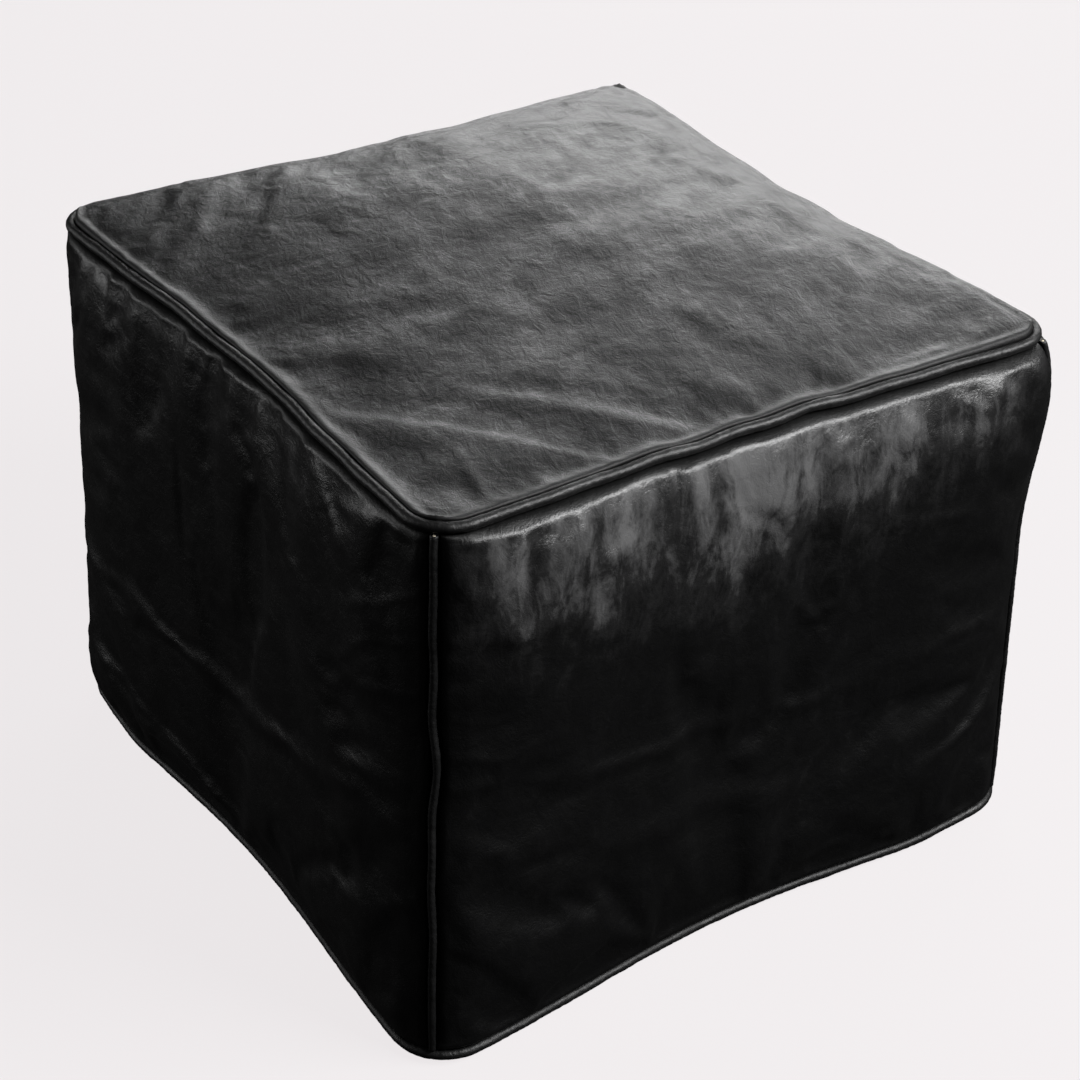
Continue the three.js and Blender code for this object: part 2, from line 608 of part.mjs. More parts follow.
topPanel();
SIDES.forEach((_, side) => sidePanel(side));
basePanel("base_panel_front", -1);
basePanel("base_panel_back", 1);
ringPiping("top", 1);
ringPiping("base", 0);
SIDES.forEach((_, side) => cornerPiping(side));
zipTape("zip_tape_front", -1);
zipTape("zip_tape_back", 1);
teethRow("zip_teeth_front", -1);
teethRow("zip_teeth_back", 1);
zipSlider();
zipPull();
zipStops();
filling();

export default pouf;
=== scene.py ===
"""Square Moroccan leather pouf: a cover of leather panels with piped seams over a stuffed liner,
and a zip across the base. Lengths are worked out in millimetres and turned into metres at the end.
"""
import math

import bpy
import numpy as np
from mathutils import Matrix, Vector


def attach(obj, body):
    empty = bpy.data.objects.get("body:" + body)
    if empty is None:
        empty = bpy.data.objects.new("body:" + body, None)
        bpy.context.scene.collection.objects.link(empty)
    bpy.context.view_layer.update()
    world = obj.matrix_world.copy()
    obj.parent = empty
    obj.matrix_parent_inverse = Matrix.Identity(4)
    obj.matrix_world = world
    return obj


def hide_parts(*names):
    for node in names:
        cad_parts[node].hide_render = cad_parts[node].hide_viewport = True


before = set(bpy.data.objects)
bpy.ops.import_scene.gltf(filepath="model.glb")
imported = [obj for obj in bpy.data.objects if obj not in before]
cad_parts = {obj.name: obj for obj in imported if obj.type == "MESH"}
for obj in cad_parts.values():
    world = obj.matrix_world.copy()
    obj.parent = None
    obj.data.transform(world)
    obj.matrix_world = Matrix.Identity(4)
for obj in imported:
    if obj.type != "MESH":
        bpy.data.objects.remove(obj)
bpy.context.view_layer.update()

scene = bpy.context.scene
MM = 0.001

# ---- The body, as the solids have it; sides in the order front, right, back, left ----
TOP_HALF, BASE_HALF = 237.5, 249.0
TOP_SEAM_Z, BASE_SEAM_Z = 399.0, 9.0
HEIGHT = TOP_SEAM_Z - BASE_SEAM_Z
TOP_RADIUS, BASE_RADIUS = 24.0, 34.0
TOP_BOW = (6.0, 15.0, 12.0, 9.0)
BASE_BOW = (17.0, 14.0, 14.0, 14.0)
CORNER_DROP = (9.0, 9.0, -3.0, 0.0)  # each corner is the one at the end of its side
CORNER_PUFF = (10.0, 5.0, 2.0, 2.0)
CORNER_LIFT = (9.0, 8.0, 11.0, 0.0)
CORNER_TUCK = (1.0, 4.0, 6.0, 0.0)
CORNER_REACH = 0.6
SEAM_TILT = math.pi / 6
SHOULDER = (19.0, 16.0, 15.0, 12.0)
BELLY = 9.0
SHOULDER_REACH, FOOT_REACH = 48.0, 40.0
BASE_ROLL = 26.0
LEATHER = 1.6
SIDES = ("front", "right", "back", "left")
CORNERS = ("front_right", "back_right", "back_left", "front_left")

# ---- The zip and the filling, as the solids have them ----
RECESS, RECESS_FLAT, RECESS_EDGE = 7.4, 9.0, 26.0
ZIP_ROWS = 0.12
OPENING_HALF, MEETING_HALF = 6.8, 0.15
ZIP_HALF, TEETH_HALF, ZIP_Z = 186.0, 172.0, 9.9
TAPE_NEAR, TAPE_THICKNESS = 5.0, 0.8
SLIDER_X, PIVOT_Z = 165.0, 6.0
SLIT_HALF_LENGTH = 150.0

# ---- Shape of the crown and rim of the top ----
CROWN, CROWN_POWER = 18.0, 2.0
RIM_RISE = (3.0, 13.5)  # near the front and left edges, and near the other two
RIM_REACH = (14.0, 20.0)


def lerp(a, b, s):
    return a + (b - a) * s


def smoothstep(x, low, high):
    s = np.clip((np.asarray(x, float) - low) / (high - low), 0, 1)
    return s * s * (3 - 2 * s)


def roll(distance, reach):
    """Quarter ellipse from 0 at no distance to 1 at the reach and beyond."""
    left = 1 - np.clip(distance / reach, 0, 1)
    return np.sqrt(1 - left * left)


def unit(v):
    return v / np.maximum(np.linalg.norm(v, axis=-1, keepdims=True), 1e-12)


def turned(p, side):
    """Rotates points by a quarter turn for each side."""
    c, s = ((1, 0), (0, 1), (-1, 0), (0, -1))[side % 4]
    return np.stack([c * p[..., 0] - s * p[..., 1], s * p[..., 0] + c * p[..., 1], p[..., 2]], -1)


def wobble(x, seed, lengths, amplitude):
    """Smooth one-dimensional noise: a few sines of the given wavelengths."""
    rng = np.random.default_rng(seed)
    total = 0.0
    for length in lengths:
        total = total + np.sin(2 * np.pi * (x / length + rng.random()))
    return amplitude * total / len(lengths)


class Field:
    """Smooth two-dimensional noise from -1 to 1 on a seeded lattice."""

    def __init__(self, seed, size=64):
        self.size = size
        self.table = np.random.default_rng(seed).uniform(-1, 1, (size, size))

    def __call__(self, x, y):
        x, y = np.broadcast_arrays(np.asarray(x, float), np.asarray(y, float))
        i, j = np.floor(x).astype(int), np.floor(y).astype(int)
        a, b = x - i, y - j
        a, b = a * a * a * (a * (6 * a - 15) + 10), b * b * b * (b * (6 * b - 15) + 10)
        t, n = self.table, self.size
        low = lerp(t[i % n, j % n], t[(i + 1) % n, j % n], a)
        high = lerp(t[i % n, (j + 1) % n], t[(i + 1) % n, (j + 1) % n], a)
        return lerp(low, high, b)


def outline(side, t, h, inset=0.0):
    """Points of the body's outline on a side at height share h; t is -1 to 1 between the corners."""
    t, h = np.broadcast_arrays(np.asarray(t, float), np.asarray(h, float))
    pick = lambda values: np.where(t > 0, values[side], values[side - 1])
    half = lerp(BASE_HALF, TOP_HALF, h) - inset
    radius = np.maximum(lerp(BASE_RADIUS, TOP_RADIUS, h) - inset, 8)
    bow = lerp(BASE_BOW[side], TOP_BOW[side], h)
    straight = half - radius
    run = np.abs(t) * (straight + radius * math.pi / 4)
    turn = np.maximum(run - straight, 0) / radius
    inner = np.cos(math.pi * t / 2) ** 2
    x = np.sign(t) * (np.minimum(run, straight) + radius * np.sin(turn))
    y = -half + radius * (1 - np.cos(turn)) + bow * inner
    y = y + wobble(x, 11 + side, (130, 83, 57), 1.5) * inner * h
    sunk = h * h * lerp(CORNER_DROP[side - 1], CORNER_DROP[side], (t + 1) / 2)
    weight = smoothstep(np.abs(t), CORNER_REACH, 1)
    puff = pick(CORNER_PUFF) * roll((1 - h) * HEIGHT, SHOULDER_REACH) * smoothstep(h, 0.6, 0.9)
    push = weight * (puff - pick(CORNER_TUCK) * (1 - roll(h * HEIGHT, FOOT_REACH)))
    lift = weight * pick(CORNER_LIFT) * np.maximum(1 - h * HEIGHT / 90, 0) ** 2
    z = lerp(BASE_SEAM_Z, TOP_SEAM_Z, h) - sunk + lift
    z = z + wobble(x, 31 + side, (160, 97, 61), 1.4) * inner * smoothstep(h, 0.5, 1)
    p = np.stack([x + np.sign(t) * math.sqrt(0.5) * push, y - math.sqrt(0.5) * push, z], -1)
    p = turned(p, side)
    for end in (1, -1):  # the upright seams wander a little
        corner = side if end > 0 else side - 1
        weight = smoothstep(end * t, 0.7, 1.0) * np.sin(math.pi * h)
        along = turned(np.array([math.sqrt(0.5), math.sqrt(0.5), 0.0]), corner % 4)
        drift = wobble(h * HEIGHT, 51 + corner % 4, (230, 128, 71), 2.0)
        p = p + (weight * drift)[..., None] * along
    return p


def outward(side, t, h):
    """Level outward normal of the outline."""
    step = 2e-3
    low, high = np.maximum(t - step, -1), np.minimum(t + step, 1)
    tangent = outline(side, high, h) - outline(side, low, h)
    n = unit(np.stack([tangent[..., 1], -tangent[..., 0], 0 * tangent[..., 0]], -1))
    diagonal = np.stack([np.sign(t) * math.sqrt(0.5), 0 * t - math.sqrt(0.5), 0 * t], -1)
    weight = smoothstep(np.abs(t), 0.985, 1.0)[..., None]
    return unit(lerp(n, turned(diagonal, side), weight))


UP = np.array([0.0, 0.0, 1.0])


def seam_frame(side, t, h):
    """Point, outward direction in the seam's plane, and direction aside towards the top or base."""
    t = np.asarray(t, float)
    n = outward(side, t, h)
    face = UP if h > 0.5 else -UP
    cos, sin = math.cos(SEAM_TILT), math.sin(SEAM_TILT)
    return outline(side, t, h), unit(n * cos + face * sin), unit(face * cos - n * sin)


def corner_frame(corner, h):
    """The same for an upright seam; aside points towards the next side round."""
    h = np.asarray(h, float)
    out = outward(corner, np.ones_like(h), h)
    aside = np.stack([-out[..., 1], out[..., 0], 0 * out[..., 0]], -1)
    return outline(corner, np.ones_like(h), h), out, aside


def plan_point(u, v, h, inset=0.0):
    """Point of the top or base, blended from the four edges of the outline."""
    s, r = ((u + 1) / 2)[..., None], ((v + 1) / 2)[..., None]
    c = [outline(k, np.ones(1), h, inset)[0] for k in range(4)]
    edges = (outline(0, u, h, inset) * (1 - r) + outline(2, -u, h, inset) * r
             + outline(3, -v, h, inset) * (1 - s) + outline(1, v, h, inset) * s)
    return edges - (c[3] * (1 - s) * (1 - r) + c[0] * s * (1 - r) + c[2] * (1 - s) * r + c[1] * s * r)


def edge_distance(u, v, half):
    return (1 - np.maximum(np.abs(u), np.abs(v))) * half


def top_surface(u, v):
    p = plan_point(u, v, 1.0)
    away = smoothstep(u + v, -0.7, 0.7)
    rim = lerp(*RIM_RISE, away) * roll(edge_distance(u, v, TOP_HALF), lerp(*RIM_REACH, away))
    p[..., 2] += rim + CROWN * (1 - np.abs(u) ** CROWN_POWER) * (1 - np.abs(v) ** CROWN_POWER)
    return p


def base_surface(u, v):
    """The base lies flat from a little inside its seam and is drawn up along the zip."""
    p = plan_point(u, v, 0.0)
    p[..., 1] = lerp(v * BASE_HALF, p[..., 1], smoothstep(np.abs(v), ZIP_ROWS, 2 * ZIP_ROWS))
    rim = p[..., 2] * (1 - roll(edge_distance(u, v, BASE_HALF), BASE_ROLL))
    lift = RECESS * (1 - smoothstep(np.abs(p[..., 1]), RECESS_FLAT, RECESS_EDGE))
    p[..., 2] = np.maximum(rim, lift)
    return p


def side_swell(side, t, h):
    full = lerp(BELLY, SHOULDER[side], smoothstep(h, 0.35, 0.9))
    start = roll((1 - h) * HEIGHT, SHOULDER_REACH) * roll(h * HEIGHT, FOOT_REACH)
    return full * start * (1 - np.abs(t) ** 8)


def side_surface(side, t, h):
    return outline(side, t, h) + outward(side, t, h) * side_swell(side, t, h)[..., None]


def new_object(name, data):
    obj = bpy.data.objects.new(name, data)
    scene.collection.objects.link(obj)
    return obj


def new_mesh(name, points, faces):
    """Mesh from points in millimetres."""
    mesh = bpy.data.meshes.new(name)
    mesh.from_pydata((np.asarray(points) * MM).tolist(), [], faces)
    return mesh


# ---- Cloth simulation of the whole cover ----
SIM_T, SIM_H = 68, 56  # cells along a side and up it
SIM_FRAMES = 18
SIM_CAP = 4.0  # the most that a point moves, in mm
SIM_SHARE = (0.62, 0.62, 0.62, 0.62, 0.34, 0.0)  # of its movement that each face keeps
SIM_FLOOR = 5  # the face that stays where it is, as it lies on the floor
SIM_SMOOTHING = 45  # passes that take out the broad swelling, which the shape has already


def sim_faces():
    ts, hs = np.linspace(-1, 1, SIM_T + 1), np.linspace(0, 1, SIM_H + 1)
    T, H = np.meshgrid(ts, hs)
    faces = [side_surface(k, T, H) for k in range(4)]
    U, V = np.meshgrid(ts, ts)
    floor = plan_point(U, V, 0.0)
    floor[..., 2] *= 1 - roll(edge_distance(U, V, BASE_HALF), BASE_ROLL)
    return [*faces, top_surface(U, V), floor]


def smoothed(field, passes):
    for _ in range(passes):
        for axis in (0, 1):
            pad = [(1, 1) if k == axis else (0, 0) for k in range(3)]
            wide = np.pad(field, pad, mode="edge")
            low, high = np.delete(wide, [-1, -2], axis), np.delete(wide, [0, 1], axis)
            field = 0.5 * field + 0.25 * (low + high)
    return field


def simulate():
    """Inflates the closed cover, held along its seams, and returns how far each face's points moved."""
    faces = sim_faces()
    points = np.concatenate([f.reshape(-1, 3) for f in faces])
    _, first, index = np.unique(np.round(points, 2), axis=0, return_index=True, return_inverse=True)
    index = index.reshape(-1)
    welded = points[first]
    quads, pinned, start = [], np.zeros(len(welded)), 0
    for number, f in enumerate(faces):
        rows, columns = f.shape[:2]
        grid = index[start:start + rows * columns].reshape(rows, columns)
        q = np.stack([grid[:-1, :-1], grid[:-1, 1:], grid[1:, 1:], grid[1:, :-1]], -1).reshape(-1, 4)
        quads.append(q[:, ::-1] if number == SIM_FLOOR else q)
        border = np.concatenate([grid[0], grid[-1], grid[:, 0], grid[:, -1]])
        pinned[grid.reshape(-1) if number == SIM_FLOOR else border] = 1
        start += rows * columns
    mesh = new_mesh("sim", welded, np.concatenate(quads).tolist())
    obj = new_object("sim", mesh)
    group = obj.vertex_groups.new(name="held")
    group.add([int(i) for i in np.nonzero(pinned)[0]], 1.0, "REPLACE")
    modifier = obj.modifiers.new("Cloth", "CLOTH")
    s = modifier.settings
    s.quality, s.mass, s.air_damping = 6, 0.3, 2
    s.tension_stiffness, s.compression_stiffness, s.shear_stiffness, s.bending_stiffness = 30, 30, 8, 1.5
    s.use_pressure, s.uniform_pressure_force = True, 4
    s.vertex_group_mass = "held"
    s.shrink_min = -0.05  # the leather is cut a little larger than the stuffing fills
    s.effector_weights.gravity = 0
    modifier.collision_settings.use_collision = False
    modifier.point_cache.frame_start, modifier.point_cache.frame_end = 1, SIM_FRAMES
    for f in range(1, SIM_FRAMES + 1):
        scene.frame_set(f)
    evaluated = obj.evaluated_get(bpy.context.evaluated_depsgraph_get())
    result = np.empty(len(welded) * 3)
    evaluated.data.vertices.foreach_get("co", result)
    moved = (result.reshape(-1, 3) / MM - welded)[index]
    bpy.data.objects.remove(obj)
    bpy.data.meshes.remove(mesh)
    scene.frame_set(1)
    result, start = [], 0
    for f, share in zip(faces, SIM_SHARE):
        count = f.shape[0] * f.shape[1]
        field = moved[start:start + count].reshape(f.shape)
        field = field - smoothed(field, SIM_SMOOTHING)
        length = np.linalg.norm(field, axis=-1, keepdims=True)
        result.append(share * field * SIM_CAP * np.tanh(length / SIM_CAP) / np.maximum(length, 1e-9))
        start += count
    return result


def spline_matrix(stations, count):
    """Rows that interpolate a grid of count + 1 even knots on -1 to 1 at the stations, smoothly."""
    x = (np.asarray(stations) + 1) / 2 * count
    i = np.clip(np.floor(x).astype(int), 0, count - 1)
    f = x - i
    weights = (-0.5 * f + f ** 2 - 0.5 * f ** 3, 1 - 2.5 * f ** 2 + 1.5 * f ** 3,
               0.5 * f + 2 * f ** 2 - 1.5 * f ** 3, -0.5 * f ** 2 + 0.5 * f ** 3)
    m = np.zeros((len(x), count + 1))
    for k, w in enumerate(weights):
        np.add.at(m, (np.arange(len(x)), np.clip(i + k - 1, 0, count)), w)
    return m


def resample(field, rows, columns):
    a = spline_matrix(rows, field.shape[0] - 1)
    b = spline_matrix(columns, field.shape[1] - 1)
    return np.einsum("ai,ijk,bj->abk", a, field, b)


moved = simulate()

# ---- Mesh building ----
def make(name, points, faces, material, body="cover", replaces=(), wear_and_painted_light=None):
    mesh = new_mesh(name, points, faces if isinstance(faces, list) else faces.tolist())
    mesh.polygons.foreach_set("use_smooth", [True] * len(mesh.polygons))
    if wear_and_painted_light is not None:
        # The attribute holds wear together with painted highlights, painted sheen, painted light and
        # painted shade.
        attribute = mesh.attributes.new("wear_and_painted_light", "FLOAT", "POINT")
        attribute.data.foreach_set("value", np.asarray(wear_and_painted_light, np.float32).reshape(-1))
    mesh.update()
    obj = new_object(name, mesh)
    mesh.materials.append(material)
    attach(obj, body)
    if replaces:
        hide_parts(*replaces)


def grid_normals(p):
    return unit(np.cross(np.gradient(p, axis=1), np.gradient(p, axis=0)))


def quads_of(g):
    return np.stack([g[:-1, :-1], g[:-1, 1:], g[1:, 1:], g[1:, :-1]], -1).reshape(-1, 4)


def shell(p, thickness):
    """Closed sheet with p as its outer face: returns points and quads."""
    rows, columns = p.shape[:2]
    inner = p - grid_normals(p) * thickness
    points = np.concatenate([p.reshape(-1, 3), inner.reshape(-1, 3)])
    g = np.arange(rows * columns).reshape(rows, columns)
    q = quads_of(g)
    loop = np.concatenate([g[0, :-1], g[:-1, -1], g[-1, :0:-1], g[:0:-1, 0]])
    following = np.roll(loop, -1)
    n = rows * columns
    wall = np.stack([following, loop, loop + n, following + n], -1)
    return points, np.concatenate([q, q[:, ::-1] + n, wall])


NEAR_SEAM = np.array([0.0, 0.7, 1.5, 2.5, 3.8, 5.4, 7.4, 9.8, 12.6, 15.8])  # closer rows at a seam
INNER = 19.0  # where the even rows start
STEP = 3.0


def fine_stations(length):
    """Stations from -1 to 1 about one step apart, and closer together near both ends."""
    half = length / 2
    inner = np.linspace(-half + INNER, half - INNER, int((length - 2 * INNER) / STEP))
    return np.concatenate([-half + NEAR_SEAM, inner, (half - NEAR_SEAM)[::-1]]) / half


T_FINE = fine_stations(2 * TOP_HALF)
H_FINE = (fine_stations(HEIGHT) + 1) / 2
HALF_RUN = 231.0  # from the middle of a side to its corner, along the leather

RING_RADIUS, RING_OUT = 3.5, 3.9
CORNER_RADIUS, CORNER_OUT = 2.5, 4.2
RING_ASIDE, RING_LIP, TOP_LIP = RING_RADIUS + 0.4, 1.0, 2.8
CORNER_ASIDE, CORNER_LIP = CORNER_RADIUS + 0.7, 0.5
TAIL_SIDE = 1.15  # the tucked leather ends this far from the seam's plane, against the piping's tails
TUCKS = ((3.0, 0.5), (9.0, 1.0))  # depth behind the lip, and share of the way to the tails
CORNER_RIM, CORNER_RIM_REACH = 2.6, 9.0  # quick roll of a side panel out of its upright seams
SHOULDER_LIP, LIP_PLACE, LIP_WIDTH = 1.3, 15.0, 10.0  # so that the shoulder starts right at its seam

noise_a, noise_b, noise_c = Field(1), Field(2), Field(3)


def puckers(along, depth, seed, reach, width):
    """Small folds that leave a seam at right angles and fade out."""
    f = Field(seed)
    drift = 6 * noise_b(along / 90, depth / 60 + seed)
    strong = 0.2 + 0.8 * smoothstep(f(along / 75 + 9, 0.5 * depth / reach), -0.3, 0.6)
    ridge = f((along + drift) / width, depth / 140 + 3)
    ridge = ridge + 0.5 * f((along + drift) / (0.47 * width) + 17, depth / 80)
    length = reach * (0.75 + 0.5 * f(along / 40 + 31, 2.5))
    return strong * ridge * np.exp(-(depth / length) ** 1.3) * smoothstep(depth, 0, 5)


# Folds of each side: rise, width, and points (along from the left as seen from outside, height).
FOLDS = {
    0: (
        (1.7, 11, -232, 213, -150, 190, -60, 178, 60, 167, 150, 178, 222, 206),
        (1.6, 20, -210, 128, -90, 118, 40, 96, 170, 104), (1.3, 3.5, -154, 396, -145, 380, -131, 344),
        (1.1, 3.5, -34, 386, -17, 350), (0.8, 4, -98, 390, -90, 352),
        (1.5, 9, -235, 322, -188, 315, -150, 322), (1.4, 5, 52, 24, 76, 31, 100, 25),
        (1.0, 8, -112, 329, -50, 320, 16, 310, 90, 318), (1.3, 7, 72, 294, 120, 286, 170, 285),
        (1.8, 10, 120, 60, 190, 92, 232, 140), (0.8, 4, -236, 262, -200, 252, -170, 258),
        (0.8, 4, -236, 236, -196, 224, -150, 228),
    ),
    1: (
        (2.4, 10, -225, 250, -120, 225, 0, 205, 110, 175, 225, 150),
        (2.0, 14, -190, 90, -80, 70, 40, 84, 150, 60), (1.3, 5, 60, 392, 70, 350, 66, 300),
        (1.1, 4, -140, 390, -150, 345), (1.2, 7, 200, 300, 150, 285, 90, 292),
    ),
    2: (
        (2.4, 10, -230, 180, -100, 150, 20, 160, 140, 195, 228, 240),
        (1.3, 6, -60, 388, -52, 340, -66, 280), (1.1, 4, 110, 390, 98, 350),
        (2.2, 12, -200, 70, -90, 48, 60, 62, 180, 44), (1.1, 7, -232, 300, -180, 292, -120, 300),
    ),
    3: (
        (2.8, 9, -222, 140, -106, 138, 2, 128, 118, 152, 190, 190),
        (3.2, 13, -225, 60, -160, 44, -80, 36, 20, 20), (1.4, 4, -190, 58, -110, 52, -40, 34),
        (2.8, 20, 86, 394, 94, 300, 118, 236, 160, 140, 192, 50),
        (1.4, 16, -120, 390, -132, 330, -126, 270), (0.9, 4, 140, 262, 190, 296, 240, 322),
        (0.9, 4, 132, 236, 186, 262, 240, 282), (0.8, 4, 150, 300, 200, 330, 238, 352),
        (0.9, 4, -30, 390, -40, 350),
    ),
}
TOP_FOLDS = (
    (1.4, 7, -215, 150, -165, 190, -140, 224), (1.1, 9, -190, 130, -150, 165, -110, 222),
    (1.6, 11, 60, 205, 120, 176, 176, 150, 200, 70), (1.2, 7, 150, 222, 196, 190, 226, 140),
    (0.9, 4, -176, -160, -184, -205, -190, -226), (0.9, 3.5, -20, -206, -26, -228),
    (1.0, 3.5, 66, -196, 60, -226), (1.3, 12, 206, -150, 190, -30, 200, 60),
)


def fold_height(x, y, folds):
    """Height of crooked ridges, each with a shallow valley on either side."""
    total = np.zeros(np.broadcast(x, y).shape)
    for number, (rise, width, *path) in enumerate(folds):
        path = np.reshape(np.asarray(path, float), (-1, 2))
        wx = x + 5 * noise_b(x / 38 + number, y / 38) + 1.6 * noise_c(x / 11, y / 11 + number)
        wy = y + 5 * noise_b(x / 38, y / 38 + 7 + number) + 1.6 * noise_c(x / 11 + 5, y / 11)
        best, place, start = np.full(total.shape, 1e9), np.zeros(total.shape), 0.0
        lengths = np.linalg.norm(np.diff(path, axis=0), axis=1)
        for a, b, length in zip(path[:-1], path[1:], lengths):
            s = np.clip(((wx - a[0]) * (b[0] - a[0]) + (wy - a[1]) * (b[1] - a[1])) / length ** 2, 0, 1)
            d = np.hypot(wx - a[0] - s * (b[0] - a[0]), wy - a[1] - s * (b[1] - a[1]))
            closer = d < best
            best, place = np.where(closer, d, best), np.where(closer, (start + s * length), place)
            start += length
        taper = smoothstep(place, 0, 0.25 * start) * smoothstep(start - place, 0, 0.25 * start)
        q = best / (width * (0.75 + 0.35 * noise_c(place / 30, number)))
        total += 0.75 * rise * (0.25 + 0.75 * taper) * ((1 - 0.45 * q * q) * np.exp(-0.5 * q * q))
    return total


def fine_wrinkles(x, y, seed):
    """Faint crumple of stretched leather, in the mesh itself."""
    return (0.34 * noise_c(x / 19 + seed, y / 23) + 0.16 * noise_a(x / 9 + seed, y / 11 + 3)
            - 0.30 * np.exp(-(noise_b(x / 31 + seed, y / 27) / 0.07) ** 2))


def with_tucks(p, edges):
    """Adds rows and columns round a panel that turn into the seam.

    edges holds, for the first row, last row, first column and last column, the outward and aside
    directions along that edge."""
    (r0, r1, c0, c1) = edges
    rows, columns = p.shape[:2]
    out = np.empty((rows + 4, columns + 4, 3))
    out[2:-2, 2:-2] = p
    for k, (depth, back) in enumerate(TUCKS):
        near, far = 1 - k, k - 2
        out[near, 2:-2] = p[0] - r0[0] * depth - r0[1] * back
        out[far, 2:-2] = p[-1] - r1[0] * depth - r1[1] * back
        out[2:-2, near] = p[:, 0] - c0[0] * depth - c0[1] * back
        out[2:-2, far] = p[:, -1] - c1[0] * depth - c1[1] * back
    for i, j, a, b in ((0, 0, r0, c0), (0, 1, r0, c1), (1, 0, r1, c0), (1, 1, r1, c1)):
        for m in range(2):
            for n in range(2):
                row = (1 - m) if i == 0 else rows + 2 + m
                column = (1 - n) if j == 0 else columns + 2 + n
                va = -a[0][-j] * TUCKS[m][0] - a[1][-j] * TUCKS[m][1]
                vb = -b[0][-i] * TUCKS[n][0] - b[1][-i] * TUCKS[n][1]
                out[row, column] = p[-i, -j] + 0.6 * (va + vb)
    return out


def edge_weight(distance):
    return 1 - smoothstep(distance, 0, 11)


def padded_wear_and_light(wear_and_painted_light):
    """The same for the tucked rows, and for the inner face."""
    return np.tile(np.pad(wear_and_painted_light, 2, mode="edge").reshape(-1), 2)


# Painted highlights of each side, paler patches below the top seam in place of the sheen on its shoulder:
# along it, below the top seam, half sizes across and down, strength.
PAINTED_HIGHLIGHTS = {
    0: ((-50, 26, 150, 74, 1.1), (-175, 30, 50, 46, 0.8), (-15, 24, 50, 34, 0.4),
        (150, 22, 90, 52, 0.6)),
    1: ((-120, 30, 90, 66, 0.9), (60, 34, 120, 68, 1.0)),
    2: ((-40, 32, 140, 68, 1.0), (170, 30, 60, 50, 0.6)),
    3: ((-150, 24, 90, 50, 0.4), (60, 26, 130, 60, 0.5)),
}
GROOVE_SHADE, GROOVE_SHADE_REACH = 1.6, (1.5, 4.5)  # painted shade: how much darker a panel is painted right beside its piping, in its groove


def side_panel(side):
    T, H = np.meshgrid(T_FINE, H_FINE)
    d_top, d_base, d_corner = (1 - H) * HEIGHT, H * HEIGHT, (1 - np.abs(T)) * HALF_RUN
    d_ring = np.minimum(d_top, d_base)
    d_seam = np.minimum(d_ring, d_corner)
    held = smoothstep(d_seam, 0, 16)[..., None]
    p = side_surface(side, T, H) + held * resample(moved[side], 2 * H_FINE - 1, T_FINE)
    x, z = T * HALF_RUN, H * HEIGHT
    bump = 1.7 * puckers(x, d_top, 70 + side, 58, 15)
    bump += 0.8 * puckers(x, d_base, 80 + side, 45, 24)
    bump += 0.7 * puckers(z, d_corner, 90 + side, 55, 19)
    bump += SHOULDER_LIP * np.exp(-((d_top - LIP_PLACE) / LIP_WIDTH) ** 2)
    bump += CORNER_RIM * roll(d_corner, CORNER_RIM_REACH) * roll(d_ring, 16)
    calm = smoothstep(d_seam, 4, 30)
    broad = noise_a(x / 95 + 7 * side, z / 70 + 3 * side)
    folds = fold_height(x, z, FOLDS[side])
    bump += calm * (1.2 * broad + fine_wrinkles(x, z, 5 * side)) + smoothstep(d_corner, 0, 9) * folds
    p = p + outward(side, T, H) * bump[..., None]
    _, o_top, a_top = seam_frame(side, T_FINE, 1.0)
    _, o_base, a_base = seam_frame(side, T_FINE, 0.0)
    shift = (edge_weight(d_top)[..., None] * (o_top * RING_LIP - a_top * RING_ASIDE)[None]
             + edge_weight(d_base)[..., None] * (o_base * RING_LIP - a_base * RING_ASIDE)[None])
    edges = [(o_base, -a_base * (RING_ASIDE - TAIL_SIDE)), (o_top, -a_top * (RING_ASIDE - TAIL_SIDE))]
    for end in (-1, 1):
        _, o_c, a_c = corner_frame(side if end > 0 else (side - 1) % 4, H_FINE)
        away = -end * a_c
        weight = edge_weight(d_corner) * (np.sign(T) == end)
        shift = shift + weight[..., None] * (o_c * CORNER_LIP + away * CORNER_ASIDE)[:, None]
        edges.append((o_c, away * (CORNER_ASIDE - TAIL_SIDE)))
    # Painted highlights: paler patches below the top seam, in place of the sheen on the shoulder, made
    # uneven by noise.
    wear_and_painted_light = sum(strength * np.exp(-((x - at) / across) ** 2 - ((d_top - down) / deep) ** 2)
               for at, down, across, deep, strength in PAINTED_HIGHLIGHTS[side])
    wear_and_painted_light *= 1 + 0.35 * noise_b(x / 52, z / 60 + 9 + side) + 0.35 * noise_c(x / 11, z / 60)
    # Wear makes the fold ridges paler; the band along the base seam is painted light.
    wear_and_painted_light = np.clip(wear_and_painted_light, 0, 1.6) + 0.05 * np.clip(folds, 0, 2) + 0.1 * np.exp(-d_base / 16)
    # Painted shade: darker in the groove right beside the top and base piping.
    wear_and_painted_light -= GROOVE_SHADE * (1 - smoothstep(d_ring, *GROOVE_SHADE_REACH))
    points, quads = shell(with_tucks(p + shift, edges), LEATHER)
    name = f"side_panel_{SIDES[side]}"
    make(f"{name}_leather", points, quads, side_leather, replaces=[name],
         wear_and_painted_light=padded_wear_and_light(wear_and_painted_light))


def lid_edges(u_stations, left, right, h):
    """Frames of the front and back edges at the u stations and of the left and right ones."""
    frames = [seam_frame(0, u_stations, h), seam_frame(2, -u_stations, h),
              seam_frame(3, -left, h), seam_frame(1, right, h)]
    return [(f[1], f[2] * (RING_ASIDE - TAIL_SIDE)) for f in frames]


def lid_shift(edges, distances, lip):
    """How far a lid stands back from its piping, near each edge."""
    shift, total = 0.0, 1e-9
    for (o, a), d, by_row in zip(edges, distances, (False, False, True, True)):
        w = edge_weight(d)[..., None]
        vector = o * lip + unit(a) * RING_ASIDE
        shift = shift + w * (vector[:, None] if by_row else vector[None])
        total = total + w
    return shift / np.maximum(total, 1)


